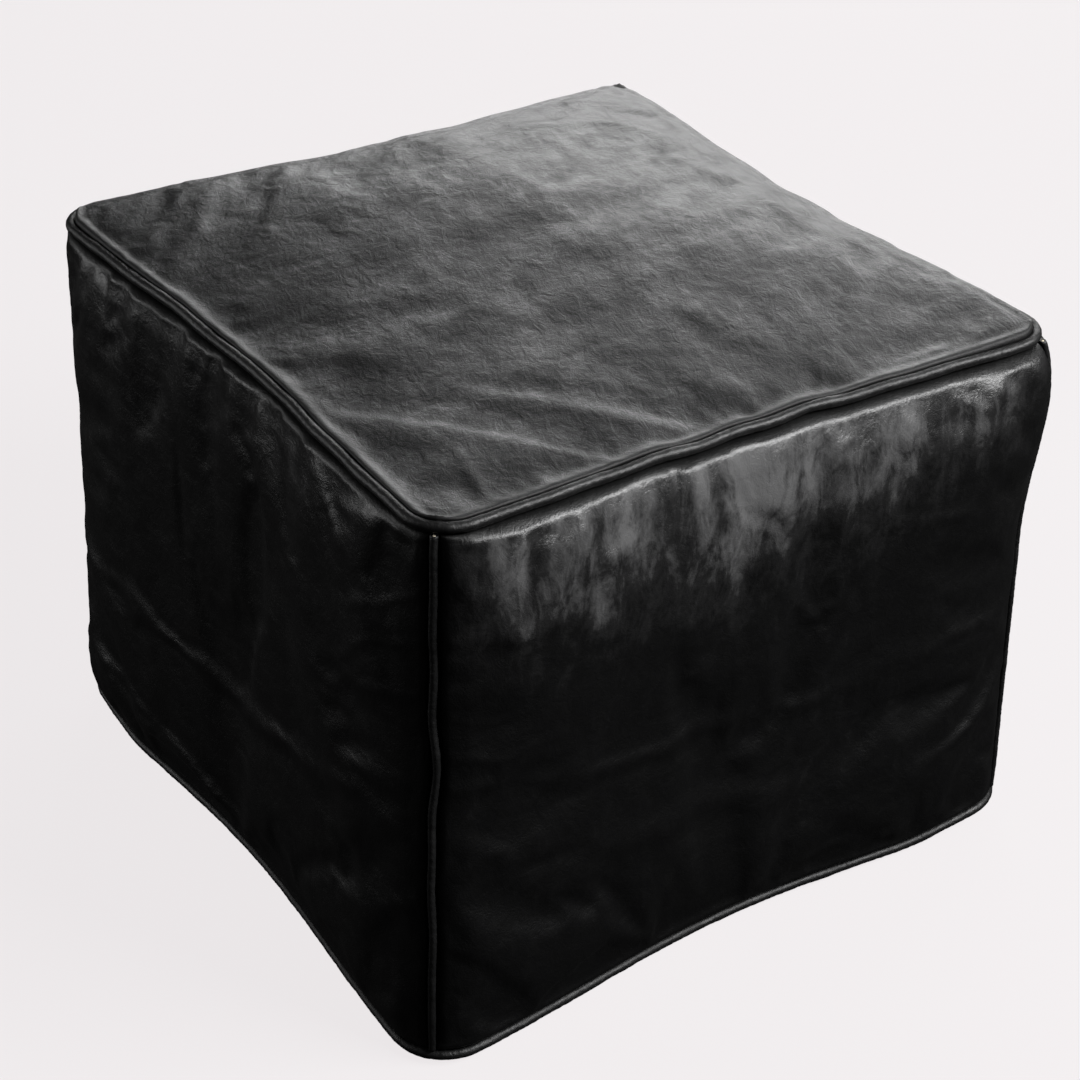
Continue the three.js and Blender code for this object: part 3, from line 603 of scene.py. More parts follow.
def top_panel():
    U, V = np.meshgrid(T_FINE, T_FINE)
    d_edge = edge_distance(U, V, HALF_RUN)
    held = smoothstep(d_edge, 0, 18)[..., None]
    p = top_surface(U, V) + held * resample(moved[4], T_FINE, T_FINE)
    x, y = U * HALF_RUN, V * HALF_RUN
    distances = [HALF_RUN * k for k in (1 + V, 1 - V, 1 + U, 1 - U)]
    bump = 0.0
    for k, (along, d) in enumerate(zip((x, -x, -y, y), distances)):
        bump = bump + 0.8 * puckers(along, d, 100 + k, 30, 12)
    calm = smoothstep(d_edge, 4, 40)
    folds = fold_height(x, y, TOP_FOLDS)
    bump = bump + calm * (1.4 * noise_a(x / 120 + 20, y / 90 + 20) + fine_wrinkles(x, y, 40))
    bump = bump + smoothstep(d_edge, 0, 12) * folds
    p = p + grid_normals(p) * bump[..., None]
    edges = lid_edges(T_FINE, T_FINE, T_FINE, 1.0)
    # Painted sheen: the top is made lighter towards its back and right.
    wear_and_painted_light = 0.55 * smoothstep(U + V + 0.25 * noise_a(x / 90, y / 90), 0, 1.7)
    wear_and_painted_light += 0.08 * np.clip(folds, 0, 2)
    # Painted highlight along the back and right edges of the top.
    wear_and_painted_light += 0.6 * np.exp(-np.minimum(1 - U, 1 - V) * HALF_RUN / 14)
    # Painted shade in the groove right beside the piping.
    wear_and_painted_light -= GROOVE_SHADE * (1 - smoothstep(d_edge, *GROOVE_SHADE_REACH))
    points, quads = shell(with_tucks(p + lid_shift(edges, distances, TOP_LIP), edges), LEATHER)
    make("top_panel_leather", points, quads, top_leather, replaces=["top_panel"],
         wear_and_painted_light=padded_wear_and_light(wear_and_painted_light))


HEM_CLOSES = (0.735, 0.765)  # shares of the half side between which the hems close up
HEM_START = 9.0  # the last even row before the hem


def hem_half(u):
    """Half the gap between the two base panels, which close up past the ends of the zip."""
    return lerp(OPENING_HALF, MEETING_HALF, smoothstep(np.abs(u), *HEM_CLOSES))


def base_panel(name, sign):
    """Half of the base, from its seam to its hem along the zip."""
    flat = np.linspace(INNER, BASE_HALF - 34, 44)
    rise = np.linspace(BASE_HALF - 30, BASE_HALF - HEM_START, 14)
    fixed = 1 - np.concatenate([NEAR_SEAM, flat, rise]) / BASE_HALF
    last = [lerp(HEM_START / BASE_HALF, hem_half(T_FINE) / BASE_HALF, s) for s in (0.3, 0.6, 0.8, 1)]
    V = np.concatenate([np.repeat(fixed[:, None], len(T_FINE), 1), last])
    U = np.repeat(T_FINE[None], len(V), 0)
    p = base_surface(U, sign * V)
    x, y = U * HALF_RUN, V * BASE_HALF
    away = np.minimum((1 - V) * BASE_HALF, (1 - np.abs(U)) * HALF_RUN)
    crumple = 0.5 * puckers(x, (1 - V) * BASE_HALF, 130 + sign, 30, 16)
    crumple = crumple + 0.35 * (1 + noise_c(x / 21, y / 25 + sign))
    p[..., 2] += np.maximum(crumple, 0) * smoothstep(away, 2, 14) * smoothstep(V, 0.05, 0.1)
    columns = V[:, 0]
    front, back, left, right = lid_edges(T_FINE, sign * columns, sign * columns, 0.0)
    seam = front if sign < 0 else back
    distances = [(1 - V) * BASE_HALF, 1e6 + 0 * V, (1 + U) * HALF_RUN, (1 - U) * HALF_RUN]
    p = p + lid_shift([seam, seam, left, right], distances, RING_LIP)
    p[..., 2] = np.maximum(p[..., 2], 0.0)
    p = with_tucks(p, [seam, seam, left, right])[:-2]  # the hem isn't turned in
    if sign < 0:
        p = p[::-1]
    points, quads = shell(p, LEATHER)
    points[:, 2] = np.maximum(points[:, 2], 0.0)
    make(f"{name}_leather", points, quads, base_leather, replaces=[name])


# ---- Materials ----
class Graph:
    """Nodes of a new material: its shader, its object coordinates, and what is made from them."""

    def __init__(self, name):
        self.material = bpy.data.materials.new(name)
        self.material.use_nodes = True
        self.tree = self.material.node_tree
        self.shader = self.tree.nodes["Principled BSDF"]
        self.coords = self.add("TexCoord").outputs["Object"]

    def put(self, socket, value):
        """Links the input to another node's socket, or sets it to a constant."""
        if isinstance(value, bpy.types.NodeSocket):
            self.tree.links.new(value, socket)
        else:
            socket.default_value = value

    def feed(self, node, **inputs):
        """Puts values in a node's inputs, whose names have underscores for spaces."""
        for name, value in inputs.items():
            self.put(node.inputs[name.replace("_", " ")], value)
        return node

    def add(self, kind, **inputs):
        return self.feed(self.tree.nodes.new("ShaderNode" + kind), **inputs)

    def finish(self, **inputs):
        self.feed(self.shader, **inputs)
        return self.material

    def noise(self, source, scale, detail, roughness=0.5, distortion=0.0):
        return self.add("TexNoise", Vector=source, Scale=scale, Detail=detail, Roughness=roughness,
                        Distortion=distortion).outputs["Fac"]

    def mapped(self, scale, rotation=(0, 0, 0)):
        """The coordinates turned and then scaled, so that a pattern is stretched along a turned axis."""
        source = self.add("Mapping", Vector=self.coords, Rotation=rotation).outputs["Vector"]
        return self.add("Mapping", Vector=source, Scale=scale).outputs["Vector"]

    def ramp(self, source, *stops):
        r = self.add("ValToRGB", Fac=source)
        while len(r.color_ramp.elements) < len(stops):
            r.color_ramp.elements.new(0.5)
        for e, (at, colour) in zip(r.color_ramp.elements, stops):
            e.position = at
            e.color = (*colour, 1) if isinstance(colour, tuple) else (colour, colour, colour, 1)
        return r.outputs["Color"]

    def math(self, operation, *values):
        m = self.add("Math")
        m.operation = operation
        for socket, value in zip(m.inputs, values):
            self.put(socket, value)
        return m.outputs[0]

    def weighted(self, *pairs):
        """Sum of sockets, each times its weight."""
        terms = [self.math("MULTIPLY", source, weight) for source, weight in pairs]
        total = terms[0]
        for term in terms[1:]:
            total = self.math("ADD", total, term)
        return total

    def bump(self, height, distance, strength, normal=None):
        b = self.add("Bump", Height=height, Distance=distance, Strength=strength)
        if normal is not None:
            self.put(b.inputs["Normal"], normal)
        return b.outputs["Normal"]


TONE_STOPS = (0.42, 0.5, 0.585, 0.72, 1.0)  # of the dark, middle and light tones, and of the two paler tones that painted highlights and wear reach
WEAR_AND_LIGHT_LIFT = 0.16  # how far the wear and painted light attribute moves the mottle along these stops
GRAIN = 560.0  # pebbles a metre
JITTER_SCALE, JITTER = 300.0, 0.002  # uneven places of the pebbles


def leather(name, tones, rough, specular, mottle=1.0, grain=1.0, wear_and_light_gain=0.6):
    """Waxed hide: cloudy blotches, streaks, pebbled grain, hair creases, and places that wear and painted
    highlights make paler and painted shade makes darker.
    """
    g = Graph(name)
    broad = g.noise(g.coords, 5.5, 3, 0.5, 0.3)
    clouds = g.noise(g.coords, 24.0 * mottle, 6, 0.58, 0.9)
    streaks = g.noise(g.mapped((70, 17, 30), (0, 0, 0.2)), 1.0, 6, 0.7, 0.5)
    blotches = g.noise(g.mapped((120, 75, 95), (0.3, 0.2, 0.5)), 1.0, 4, 0.7, 0.6)
    small = g.noise(g.coords, 260.0, 4, 0.7, 0.2)
    mix = g.weighted((broad, 0.22), (clouds, 0.30), (streaks, 0.24), (blotches, 0.18), (small, 0.06))
    # The attribute carries wear together with painted highlights, painted sheen and painted shade.
    wear_and_painted_light = g.add("Attribute")
    wear_and_painted_light.attribute_name = "wear_and_painted_light"
    shift_mask = g.math("MULTIPLY", wear_and_painted_light.outputs["Fac"], g.math("MULTIPLY", streaks, WEAR_AND_LIGHT_LIFT * wear_and_light_gain))
    mix = g.math("ADD", mix, shift_mask)
    jitter = g.add("TexNoise", Vector=g.coords, Scale=JITTER_SCALE)
    scaled, warp, cells = g.add("VectorMath"), g.add("VectorMath"), g.add("TexVoronoi")
    scaled.operation, warp.operation, cells.feature = "SCALE", "ADD", "DISTANCE_TO_EDGE"
    g.feed(scaled, Vector=jitter.outputs["Color"], Scale=JITTER)
    g.put(warp.inputs[0], g.coords)
    g.put(warp.inputs[1], scaled.outputs["Vector"])
    g.feed(cells, Vector=warp.outputs["Vector"], Scale=GRAIN)
    pebble = g.math("MINIMUM", cells.outputs["Distance"], 0.18)
    hair = g.noise(g.mapped((1.0, 2.2, 1.4), (0.4, 0.0, 0.6)), 42.0, 8, 0.66, 1.4)
    crease = g.math("MINIMUM", g.math("ABSOLUTE", g.math("SUBTRACT", hair, 0.5)), 0.045)
    normal = None
    for height, distance, strength in ((pebble, 0.0007, 0.4), (crease, 0.004, 0.35),
                                       (clouds, 0.005, 0.22), (blotches, 0.003, 0.4)):
        normal = g.bump(height, distance, strength * grain, normal)
    return g.finish(Base_Color=g.ramp(mix, *zip(TONE_STOPS, tones)),
                    Roughness=g.ramp(mix, (0.4, rough[1]), (0.6, rough[0])),
                    Normal=normal, Specular_IOR_Level=specular)


def cloth(name, dark, light, thread, rough=0.9):
    """Plain weave with threads of the given size in metres."""
    g = Graph(name)
    fine, long = 0.5 / thread, 0.06 / thread
    ways = ((fine, long, long), (long, fine, long), (long, long, fine))
    threads = g.weighted(*zip([g.noise(g.mapped(way), 1.0, 2) for way in ways], (0.34, 0.33, 0.33)))
    mix = g.weighted((threads, 0.7), (g.noise(g.coords, 9.0, 5, 0.6), 0.3))
    return g.finish(Base_Color=g.ramp(mix, (0.4, dark), (0.6, light)), Roughness=rough,
                    Normal=g.bump(threads, thread * 0.6, 0.7), Specular_IOR_Level=0.2)


def metal(name, dark, light):
    """Aged brass: tarnish in blotches and fine scratches."""
    g = Graph(name)
    tarnish = g.noise(g.coords, 420.0, 5, 0.65, 0.4)
    scratch = g.noise(g.mapped((2600, 240, 900), (0, 0, 0.3)), 1.0, 3, 0.6)
    shift_mask = g.weighted((tarnish, 0.6), (scratch, 0.4))
    return g.finish(Base_Color=g.ramp(tarnish, (0.38, dark), (0.6, light)),
                    Roughness=g.ramp(shift_mask, (0.4, 0.5), (0.62, 0.24)),
                    Normal=g.bump(scratch, 0.0001, 0.5), Metallic=1.0)


def fibre(name, dark, light):
    """Loose cotton waste."""
    g = Graph(name)
    tufts = g.noise(g.coords, 60.0, 8, 0.7, 1.5)
    strands = g.noise(g.mapped((900, 90, 200), (0.3, 0.5, 0.7)), 1.0, 4, 0.7, 2.0)
    mix = g.weighted((tufts, 0.6), (strands, 0.4))
    return g.finish(Base_Color=g.ramp(mix, (0.36, dark), (0.62, light)), Roughness=1.0,
                    Normal=g.bump(mix, 0.004, 0.8), Specular_IOR_Level=0.1)


# The top is the same black leather as the sides, with its tones painted several times lighter: painted
# light from the softboxes above.
TOP_TONES_PAINTED_LIGHTER = ((0.001, 0.001, 0.0011), (0.0044, 0.0044, 0.0045), (0.018, 0.0178, 0.0182),
             (0.042, 0.0418, 0.0422), (0.12, 0.1195, 0.1205))
SIDE_TONES = ((0.0005, 0.0005, 0.0005), (0.0013, 0.0013, 0.0014), (0.0042, 0.0042, 0.0043),
              (0.014, 0.0139, 0.0141), (0.1, 0.0995, 0.1005))
BASE_TONES = ((0.003, 0.003, 0.003), (0.007, 0.007, 0.007), (0.018, 0.0175, 0.017))
# The piping's tones are painted lighter than the sides': a painted reflection of the pale floor on its
# rounded leather.
PIPING_TONES_PAINTED_LIGHTER = ((0.001, 0.001, 0.0011), (0.003, 0.003, 0.0031), (0.008, 0.008, 0.0081),
                (0.018, 0.018, 0.0182), (0.06, 0.06, 0.061))

top_leather = leather("top leather", TOP_TONES_PAINTED_LIGHTER, (0.40, 0.62), 0.5, grain=0.75, wear_and_light_gain=3.0)
side_leather = leather("side leather", SIDE_TONES, (0.36, 0.52), 0.42, grain=0.6, wear_and_light_gain=4.4)
base_leather = leather("base leather", BASE_TONES, (0.45, 0.65), 0.35)
piping_leather = leather("piping leather", PIPING_TONES_PAINTED_LIGHTER, (0.43, 0.58), 0.42, mottle=2.5, grain=0.7,
                         wear_and_light_gain=3.0)
cord_cotton = cloth("cord cotton", (0.42, 0.37, 0.28), (0.68, 0.62, 0.5), 0.0006)
liner_cotton = cloth("liner cotton", (0.5, 0.45, 0.36), (0.74, 0.69, 0.58), 0.0008)
tape_cloth = cloth("zip tape cloth", (0.004, 0.004, 0.0045), (0.016, 0.016, 0.017), 0.0006)
thread_cloth = cloth("thread", (0.006, 0.006, 0.006), (0.03, 0.03, 0.03), 0.0003, 0.6)
brass = metal("zip metal", (0.16, 0.11, 0.05), (0.62, 0.46, 0.22))
cotton_waste = fibre("cotton waste", (0.5, 0.46, 0.38), (0.86, 0.82, 0.73))

top_panel()
for side in range(4):
    side_panel(side)
base_panel("base_panel_front", -1)
base_panel("base_panel_back", 1)


# ---- Piping and its cords ----
def circle(sides):
    """Angles round a circle."""
    return np.linspace(0, 2 * math.pi, sides, endpoint=False)


def tube(p, closed=False):
    """Points and faces of a closed body through rings of points, or of a ring of them."""
    n, k = p.shape[:2]
    g = np.arange(n * k).reshape(n, k)
    rows = np.concatenate([g, g[:1]]) if closed else g
    a, b = rows[:-1], rows[1:]
    faces = np.stack([a, b, np.roll(b, -1, 1), np.roll(a, -1, 1)], -1).reshape(-1, 4).tolist()
    if not closed:
        faces += [g[0].tolist(), g[-1][::-1].tolist()]
    points = p.reshape(-1, 3)
    return points, facing_out(points, faces)


def facing_out(points, faces):
    """The faces of a closed mesh, turned round if they point inwards."""
    p = np.asarray(points)
    volume = 0.0
    for f in faces:
        a = p[f[0]]
        volume += sum(float(np.dot(a, np.cross(p[b], p[c]))) for b, c in zip(f[1:-1], f[2:]))
    return faces if volume > 0 else [list(f[::-1]) for f in faces]


def swept(frames, section, closed):
    """Tube whose section points are (out, aside) pairs at every frame."""
    at, out, aside = frames
    rings = at[:, None] + out[:, None] * section[..., :1] + aside[:, None] * section[..., 1:]
    return tube(rings, closed)


def ring_frames(h, step):
    t = np.linspace(-1, 1, int(2 * HALF_RUN / step) + 1)[1:]
    parts = [seam_frame(k, t, h) for k in range(4)]
    return [np.concatenate([f[i] for f in parts]) for i in range(3)]


def arc_lengths(at):
    return np.concatenate([[0], np.cumsum(np.linalg.norm(np.diff(at, axis=0), axis=1))])


PIPING_LEATHER = 0.8
TAIL = 9.0
CORD_PRESS, CORD_PLAY = 0.92, 0.45  # the cord is a little squeezed, and clear of its leather
LAY = 10.0  # length of one turn of its strands
CORD_SIDES = 18
# Painted highlight along the crest of each piping: the top ring, the base ring and the upright ones.
TOP_CREST_HIGHLIGHT, BASE_CREST_HIGHLIGHT, CORNER_CREST_HIGHLIGHT = 0.4, 0.0, 0.35
PIPE_STEP = 1.3
CORNER_END = 2.8  # what an upright piping stops short of the seams above and below


def piping_section(at, radius, reach, seed):
    """A strip folded round the cord, its two tails sewn together: uneven, with fine cross wrinkles."""
    s = arc_lengths(at)[:, None]
    n = len(s)
    column = lambda out, aside: np.stack([np.full((n, 1), out), np.full((n, 1), aside)], -1)
    uneven = 1 + wobble(s, seed, (71, 43, 29), 0.06) + 0.03 * Field(seed)(s / 3.1, 0.5)
    swing = wobble(s, seed + 1, (97, 59), 0.4)
    strips = []
    for r, opening, count, sign in ((radius, 0.42, 14, 1), (radius - PIPING_LEATHER, 0.16, 9, -1)):
        angles = sign * np.linspace(math.pi - opening, opening - math.pi, count)
        cross = 0.13 * Field(seed + 2)(s / 1.7 + 1.5 * np.sin(angles), 2.0 * np.cos(angles) + 9)
        rr = r * uneven + cross * (sign > 0)
        strips.append(np.stack([reach + rr * np.cos(angles), rr * np.sin(angles) + swing], -1))
    return np.concatenate([column(-TAIL, 1.0), strips[0], column(-TAIL, -1.0),
                           column(-TAIL, -0.2), strips[1], column(-TAIL, 0.2)], 1)


def crest(section, reach, radius):
    """Painted highlight along the crest of the piping."""
    return np.clip((section[..., 0] - reach) / radius, 0, 1) ** 3


def cord_section(at, radius, reach, closed):
    """Three twisted strands."""
    s = arc_lengths(at)
    whole = s[-1] + (np.linalg.norm(at[0] - at[-1]) if closed else 0)
    turns = 2 * math.pi * s * (max(round(whole / LAY), 1) / whole)
    angles = circle(CORD_SIDES)
    lobes = 0.82 + 0.18 * np.abs(np.cos(1.5 * (angles[None] - turns[:, None] / 1.5))) ** 0.7
    r = radius * lobes
    return np.stack([reach + r * np.cos(angles), r * np.sin(angles)], -1)


def piping(name, frames, radius, reach, closed, seed, wear_and_light_gain):
    """name has a place for what it is: the leather or the cord in it, and their solids."""
    section = piping_section(frames[0], radius, reach, seed)
    points, faces = swept(frames, section, closed)
    # The leather's crest gets a painted highlight.
    make(name.format("leather"), points, faces, piping_leather, replaces=[name.format("cover")],
         wear_and_painted_light=wear_and_light_gain * crest(section, reach, radius))
    core_radius = radius * CORD_PRESS - PIPING_LEATHER - CORD_PLAY
    points, faces = swept(frames, cord_section(frames[0], core_radius, reach, closed), closed)
    make(name.format("twist"), points, faces, cord_cotton, replaces=[name.format("cord")])


for name, h, wear_and_light_gain in (("top", 1.0, TOP_CREST_HIGHLIGHT), ("base", 0.0, BASE_CREST_HIGHLIGHT)):
    frames = ring_frames(h, PIPE_STEP)
    piping(name + "_piping_{}", frames, RING_RADIUS, RING_OUT, True, 200 + int(h), wear_and_light_gain)
for corner in range(4):
    hs = np.linspace(CORNER_END / HEIGHT, 1 - CORNER_END / HEIGHT, int(HEIGHT / PIPE_STEP))
    name = "corner_piping_{}_" + CORNERS[corner]
    piping(name, corner_frame(corner, hs), CORNER_RADIUS, CORNER_OUT, False, 210 + corner, CORNER_CREST_HIGHLIGHT)


# ---- Zip ----
def joined(parts):
    """One set of points and faces from several."""
    points, faces, start = [], [], 0
    for p, f in parts:
        points.append(np.asarray(p, float))
        faces += [[int(i) + start for i in one] for one in f]
        start += len(p)
    return np.concatenate(points), faces


def prism(outline_points, low, high):
    xy = np.asarray(outline_points, float)
    return tube(np.array([np.column_stack([xy, np.full(len(xy), z)]) for z in (low, high)]))


ROD_SIDES = 14
CAST_VOXEL, CLIP_VOXEL = 0.16, 0.15


def block(x0, x1, y0, y1, z0, z1):
    return prism([(x0, y0), (x1, y0), (x1, y1), (x0, y1)], z0, z1)


def rod(start, end, radius):
    start, end = np.asarray(start, float), np.asarray(end, float)
    d = unit(end - start)
    side = unit(np.cross(d, UP if abs(d[2]) < 0.9 else np.array([1.0, 0, 0])))
    other = np.cross(d, side)
    angles = circle(ROD_SIDES)[:, None]
    ring = radius * (np.cos(angles) * side + np.sin(angles) * other)
    return tube(np.array([start + ring, end + ring]))


def cast(name, parts, voxel, body, cad):
    """Runs closed bodies together into one piece with softened edges, as die casting leaves them."""
    points, faces = joined(parts)
    mesh = new_mesh("raw", points, faces)
    obj = new_object("raw", mesh)
    remesh = obj.modifiers.new("Remesh", "REMESH")
    remesh.mode, remesh.voxel_size = "VOXEL", voxel * MM
    smooth = obj.modifiers.new("Smooth", "SMOOTH")
    smooth.factor, smooth.iterations = 0.5, 3
    evaluated = obj.evaluated_get(bpy.context.evaluated_depsgraph_get())
    points = np.array([v.co for v in evaluated.data.vertices]) / MM
    faces = [list(p.vertices) for p in evaluated.data.polygons]
    bpy.data.objects.remove(obj)
    bpy.data.meshes.remove(mesh)
    return make(name, points, faces, brass, body=body, replaces=[cad])


def zip_tape(end, sign):
    x = np.linspace(-ZIP_HALF, ZIP_HALF, 150)
    across = np.concatenate([[0, 0.4, 0.9, 1.4], np.linspace(2.2, 11, 7), [11.6, 12.1, 12.6, 13.0]])
    y = sign * (TAPE_NEAR + across)
    if sign < 0:
        y = y[::-1]
    X, Y = np.meshgrid(x, y[::-1])
    off = np.abs(Y) - TAPE_NEAR
    ribs = 0.16 * np.exp(-((off - 0.8) / 0.5) ** 2) + 0.12 * np.exp(-((off - 12.2) / 0.5) ** 2)
    Z = ZIP_Z - TAPE_THICKNESS / 2 - ribs + 0.05 * noise_c(X / 8, Y / 6)
    points, faces = shell(np.stack([X, Y, Z], -1), TAPE_THICKNESS)
    make(f"zip_tape_{end}_cloth", points, faces, tape_cloth, replaces=[f"zip_tape_{end}"])


TOOTH_PITCH = 3.0
TOOTH = ((0.85, 0.45, 0.65), (1.15, 0.7, 1.0), (2.2, 0.75, 1.1), (2.6, 0.5, 0.85),
         (3.1, 0.85, 1.15), (4.3, 0.9, 1.2), (4.65, 0.7, 0.95))  # off the middle, half width, half height


def teeth_row(end, sign):
    """Metal teeth clamped on the tape's bead; the two rows are half a pitch apart."""
    parts = []
    first = -TEETH_HALF + (1.2 if sign > 0 else 2.7)
    for x in np.arange(first, TEETH_HALF - 1, TOOTH_PITCH):
        rings = []
        for off, wide, tall in TOOTH:
            c = 0.3 * min(wide, tall)
            corners = ((wide, tall - c), (wide - c, tall), (c - wide, tall), (-wide, tall - c),
                       (-wide, c - tall), (c - wide, -tall), (wide - c, -tall), (wide, c - tall))
            rings.append([(x + a, sign * off, ZIP_Z + b) for a, b in corners])
        parts.append(tube(np.array(rings)))
    middle = sign * 3.9
    parts.append(rod((-TEETH_HALF, middle, ZIP_Z), (TEETH_HALF, middle, ZIP_Z), 0.62))
    points, faces = joined(parts)
    make(f"zip_teeth_{end}_row", points, faces, brass, replaces=[f"zip_teeth_{end}"])


def zip_slider():
    plate = [(159, -4.4), (159.5, -5.2), (161, -5.7), (167, -6), (170, -6), (170.9, -5.2), (171, -2.2),
             (170.3, 0), (171, 2.2), (170.9, 5.2), (170, 6), (167, 6), (161, 5.7), (159.5, 5.2), (159, 4.4)]
    parts = [prism(plate, 11.5, 12.7), prism(plate, 7.1, 8.3)]
    for y0, y1 in ((5.1, 5.95), (-5.95, -5.1)):
        parts += [block(159.8, 170.4, y0, y1, 10.6, 11.6), block(159.8, 170.4, y0, y1, 8.2, 9.2)]
    parts.append(block(162.4, 167.6, -0.42, 0.42, 8.2, 11.6))
    parts += [block(160.8, 162.4, -1, 1, 4.1, 7.2), block(167.6, 169.2, -1, 1, 4.1, 7.2),
              block(160.8, 169.2, -1, 1, 4.1, 4.95)]
    cast("zip_slider_cast", parts, CAST_VOXEL, "slider", "zip_slider")


def zip_pull():
    """A dished tab with a raised rim, and an eye whose bar sits in the slider's loop."""
    z = PIVOT_Z
    rim = [(157.6, 3.3), (150, 3.2), (145, 2.7), (141.6, 2.9), (139.4, 2.2), (138.7, 0)]
    rim = rim + [(x, -y) for x, y in rim[-2::-1]]
    parts = [prism(rim, z - 0.4, z + 0.4)]
    parts += [rod((*a, z), (*b, z), 0.68) for a, b in zip(rim, rim[1:] + rim[:1])]
    parts += [rod((157.2, s * 3.3, z), (SLIDER_X, s * 3.3, z), 0.68) for s in (1, -1)]
    parts.append(rod((SLIDER_X, -3.9, z), (SLIDER_X, 3.9, z), 0.66))
    cast("zip_pull_cast", parts, CAST_VOXEL, "pull", "zip_pull")


def zip_stops():
    """Bent metal clips at the ends of the rows."""
    near, far = TEETH_HALF + 0.35, TEETH_HALF + 4.25
    for end, sign in (("front", -1), ("back", 1)):
        y0, y1 = sorted((sign * 1.25, sign * 4.65))
        parts = [block(near, far, y0, y1, ZIP_Z - 1.1, ZIP_Z + 1.1)]
        parts.append(rod((near + 0.1, sign * 3, ZIP_Z - 0.75), (far - 0.1, sign * 3, ZIP_Z - 0.75), 0.45))
        cast(f"zip_top_stop_{end}_clip", parts, CLIP_VOXEL, "cover", f"zip_top_stop_{end}")
    parts = [block(-far, -near, -4.65, 4.65, ZIP_Z - 1.0, ZIP_Z + 1.0)]
    parts += [rod((-far + 0.15, y, ZIP_Z - 0.72), (-near - 0.15, y, ZIP_Z - 0.72), 0.45)
              for y in (-3, 0, 3)]
    cast("zip_bottom_stop_clip", parts, CLIP_VOXEL, "cover", "zip_bottom_stop")


STITCH, STITCH_END, STITCH_BESIDE_HEM = 4.4, 178, 3.6
STITCH_RINGS = ((0.0, 0.16), (0.35, 0.34), (1.5, 0.4), (2.65, 0.34), (3.0, 0.16))  # along, radius


def hem_stitches():
    """Thread that shows outside where each hem is sewn to its tape."""
    parts = []
    across = OPENING_HALF + STITCH_BESIDE_HEM
    depth = RECESS * (1 - float(smoothstep(across, RECESS_FLAT, RECESS_EDGE)))
    for sign in (-1, 1):
        for x in np.arange(-STITCH_END, STITCH_END, STITCH):
            rings = []
            for along, r in STITCH_RINGS:
                sunk = 0.25 * abs(along - 1.5) / 1.5
                y, z = sign * across, depth - 0.1 + sunk
                rings.append([(x + along, y + r * math.cos(a), z + r * math.sin(a)) for a in circle(8)])
            parts.append(tube(np.array(rings)))
    points, faces = joined(parts)
    make("hem_stitches", points, faces, thread_cloth)


for end, sign in (("front", -1), ("back", 1)):
    zip_tape(end, sign)
    teeth_row(end, sign)
zip_slider()
zip_pull()
zip_stops()
hem_stitches()


# ---- Liner and stuffing ----
def core(stations, face_inset, edge_inset, lumps):
    """Grids of a soft box inside the cover: front, right, back, left, top and floor."""
    U, V = np.meshgrid(stations, stations)
    low, high = BASE_SEAM_Z + edge_inset, TOP_SEAM_Z - edge_inset
    reach = roll(edge_distance(U, V, TOP_HALF), edge_inset + 15)
    faces = []
    for side in range(4):
        h = (V + 1) / 2
        p = outline(side, U, h, edge_inset)
        level = lerp(low, high, h) - lerp(BASE_SEAM_Z, TOP_SEAM_Z, h)
        p[..., 2] += np.where(h > 0, level, low - p[..., 2])
        swell = reach * (edge_inset + side_swell(side, U, h) - face_inset + lumps(U * 5 + 3 * side, V * 5))
        faces.append(p + outward(side, U, h) * swell[..., None])
    lid = plan_point(U, V, 1.0, edge_inset)
    swollen = top_surface(U, V)[..., 2] - plan_point(U, V, 1.0)[..., 2] + TOP_SEAM_Z - face_inset
    lid[..., 2] += lerp(high, swollen + lumps(U * 5 + 20, V * 5), reach) - TOP_SEAM_Z
    floor = plan_point(U, V, 0.0, edge_inset)
    over_zip = 16 * (1 - smoothstep(np.abs(floor[..., 1]), 0, 60))
    floor[..., 2] = lerp(low, 2.2 + face_inset - 4.5 + over_zip, reach)
    return [*faces, lid, floor]


def welded_core(faces):
    points = np.concatenate([f.reshape(-1, 3) for f in faces])
    _, first, index = np.unique(np.round(points, 1), axis=0, return_index=True, return_inverse=True)
    index, quads, n = index.reshape(-1), [], faces[0].shape[0]
    for k in range(6):
        q = quads_of(index[k * n * n:(k + 1) * n * n].reshape(n, n))
        quads.append(q[:, ::-1] if k == 5 else q)
    return points[first], first, np.concatenate(quads)


def core_stations(cells):
    s = np.sin(np.linspace(-0.5, 0.5, cells + 1) * math.pi)
    slit = 2.0 / BASE_HALF
    return np.sort(np.concatenate([s[np.abs(s) > 2 * slit], [-slit, slit]]))


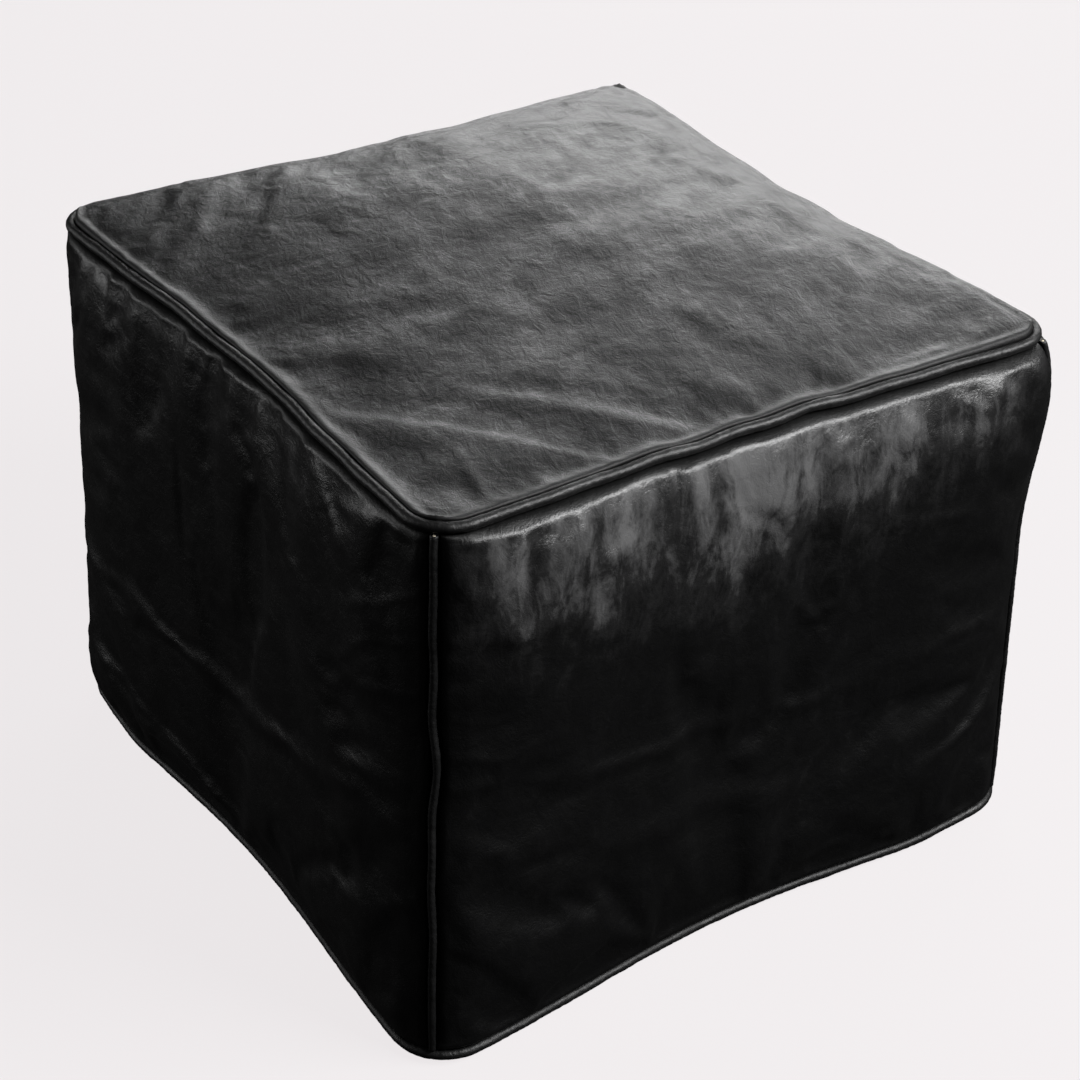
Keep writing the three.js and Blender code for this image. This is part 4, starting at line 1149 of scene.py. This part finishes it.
def filling():
    stations = core_stations(48)
    creases = lambda u, v: 1.2 * noise_a(2 * u, 2 * v) - 1.2
    outer = core(stations, 6.0, 17.0, creases)
    inner = core(stations, 7.4, 18.8, creases)
    points, first, quads = welded_core(outer)
    inside = np.concatenate([f.reshape(-1, 3) for f in inner])[first]
    middle = points[quads].mean(1)
    slit = (np.abs(middle[:, 1]) < 1.9) & (np.abs(middle[:, 0]) < SLIT_HALF_LENGTH) & (middle[:, 2] < 60)
    quads = quads[~slit]
    edges = np.stack([quads, np.roll(quads, -1, 1)], -1).reshape(-1, 2)
    _, back, uses = np.unique(np.sort(edges, 1), axis=0, return_inverse=True, return_counts=True)
    rim, n = edges[uses[back.reshape(-1)] == 1], len(points)
    walls = np.stack([rim[:, 1], rim[:, 0], rim[:, 0] + n, rim[:, 1] + n], -1)
    faces = np.concatenate([quads, quads[:, ::-1] + n, walls])
    make("liner_bag_cotton", np.concatenate([points, inside]), faces, liner_cotton, replaces=["liner_bag"])
    tufts = lambda u, v: 2.2 * noise_a(2.3 * u, 2.3 * v) + 1.2 * noise_c(5 * u, 5 * v) - 3.4
    points, _, quads = welded_core(core(stations, 9.0, 22.0, tufts))
    make("stuffing_cotton", points, quads, cotton_waste, replaces=["stuffing"])


filling()

# ---- Camera, light and floor ----
SIZE = TOP_HALF * MM
AZIMUTH, ELEVATION, TILT = -35.08, 32.64, 1.36  # of the camera, in degrees; azimuth 0 is the front
SENSOR, LENS = 36, 84.53333  # mm
CAMERA_DISTANCE = 7.665 * SIZE


def towards(az, el):
    """Unit vector towards an azimuth and elevation in degrees."""
    a, e = math.radians(az), math.radians(el)
    return Vector((math.sin(a) * math.cos(e), -math.cos(a) * math.cos(e), math.sin(e)))


azimuth, tilt = math.radians(AZIMUTH), math.radians(TILT)
back = towards(AZIMUTH, ELEVATION)
right = Vector((math.cos(azimuth), math.sin(azimuth), 0))
upward = back.cross(right)
right, upward = (math.cos(tilt) * right + math.sin(tilt) * upward,
                 math.cos(tilt) * upward - math.sin(tilt) * right)
target = Vector((0.014 * SIZE, 0, 0.778 * SIZE))
camera = new_object("camera", bpy.data.cameras.new("camera"))
camera.data.sensor_width, camera.data.lens = SENSOR, LENS
axes = Matrix((right, upward, back)).transposed().to_4x4()
camera.matrix_world = Matrix.Translation(target + back * CAMERA_DISTANCE) @ axes
scene.camera = camera


AIM = Vector((0, 0, 0.25))  # what the lights are turned to


def area_light(name, az, el, distance, size, power):
    light = bpy.data.lights.new(name, "AREA")
    light.shape, light.energy = "RECTANGLE", power
    light.size, light.size_y = size
    obj = new_object(name, light)
    place = towards(az, el)
    obj.location = AIM + place * distance
    obj.rotation_mode = "QUATERNION"
    obj.rotation_quaternion = place.to_track_quat("Z", "Y")
    obj.visible_camera = False


area_light("overhead softbox", 120, 66, 2.4, (1.4, 1.2), 4)
area_light("rear softbox", 132, 18, 2.8, (2.4, 0.8), 37)
area_light("front softbox", 36, 38, 2.6, (1.5, 0.7), 105)
area_light("left fill", -130, 12, 3.0, (1.6, 1.0), 20)

world = bpy.data.worlds.new("studio")
scene.world = world
world.use_nodes = True
background = world.node_tree.nodes["Background"].inputs
background["Color"].default_value, background["Strength"].default_value = (1, 0.99, 1, 1), 0.03

PALE = (0.88, 0.847, 0.857, 1)


def glowing(name, strength, base=0.0):
    """Pale material that gives its own light."""
    return Graph(name).finish(Base_Color=(base, base, base, 1), Roughness=1, Specular_IOR_Level=0,
                              Emission_Color=PALE, Emission_Strength=strength)


def staged(name, material, glossy, diffuse, camera_sees):
    obj = bpy.context.object
    obj.name = name
    obj.data.materials.append(material)
    obj.visible_glossy, obj.visible_diffuse, obj.visible_camera = glossy, diffuse, camera_sees
    obj.visible_transmission = obj.visible_shadow = False


bpy.ops.mesh.primitive_plane_add(size=60)
staged("floor", glowing("pale floor", 0.93, 0.06), False, False, True)
bpy.ops.mesh.primitive_uv_sphere_add(radius=14, segments=48, ring_count=24)
staged("backdrop", glowing("pale backdrop", 1.0), False, False, True)
bpy.ops.mesh.primitive_plane_add(size=5, location=(0, 0, -0.003))
staged("bounce card", glowing("bounce", 0.015), True, True, False)

scene.view_settings.view_transform = "Standard"
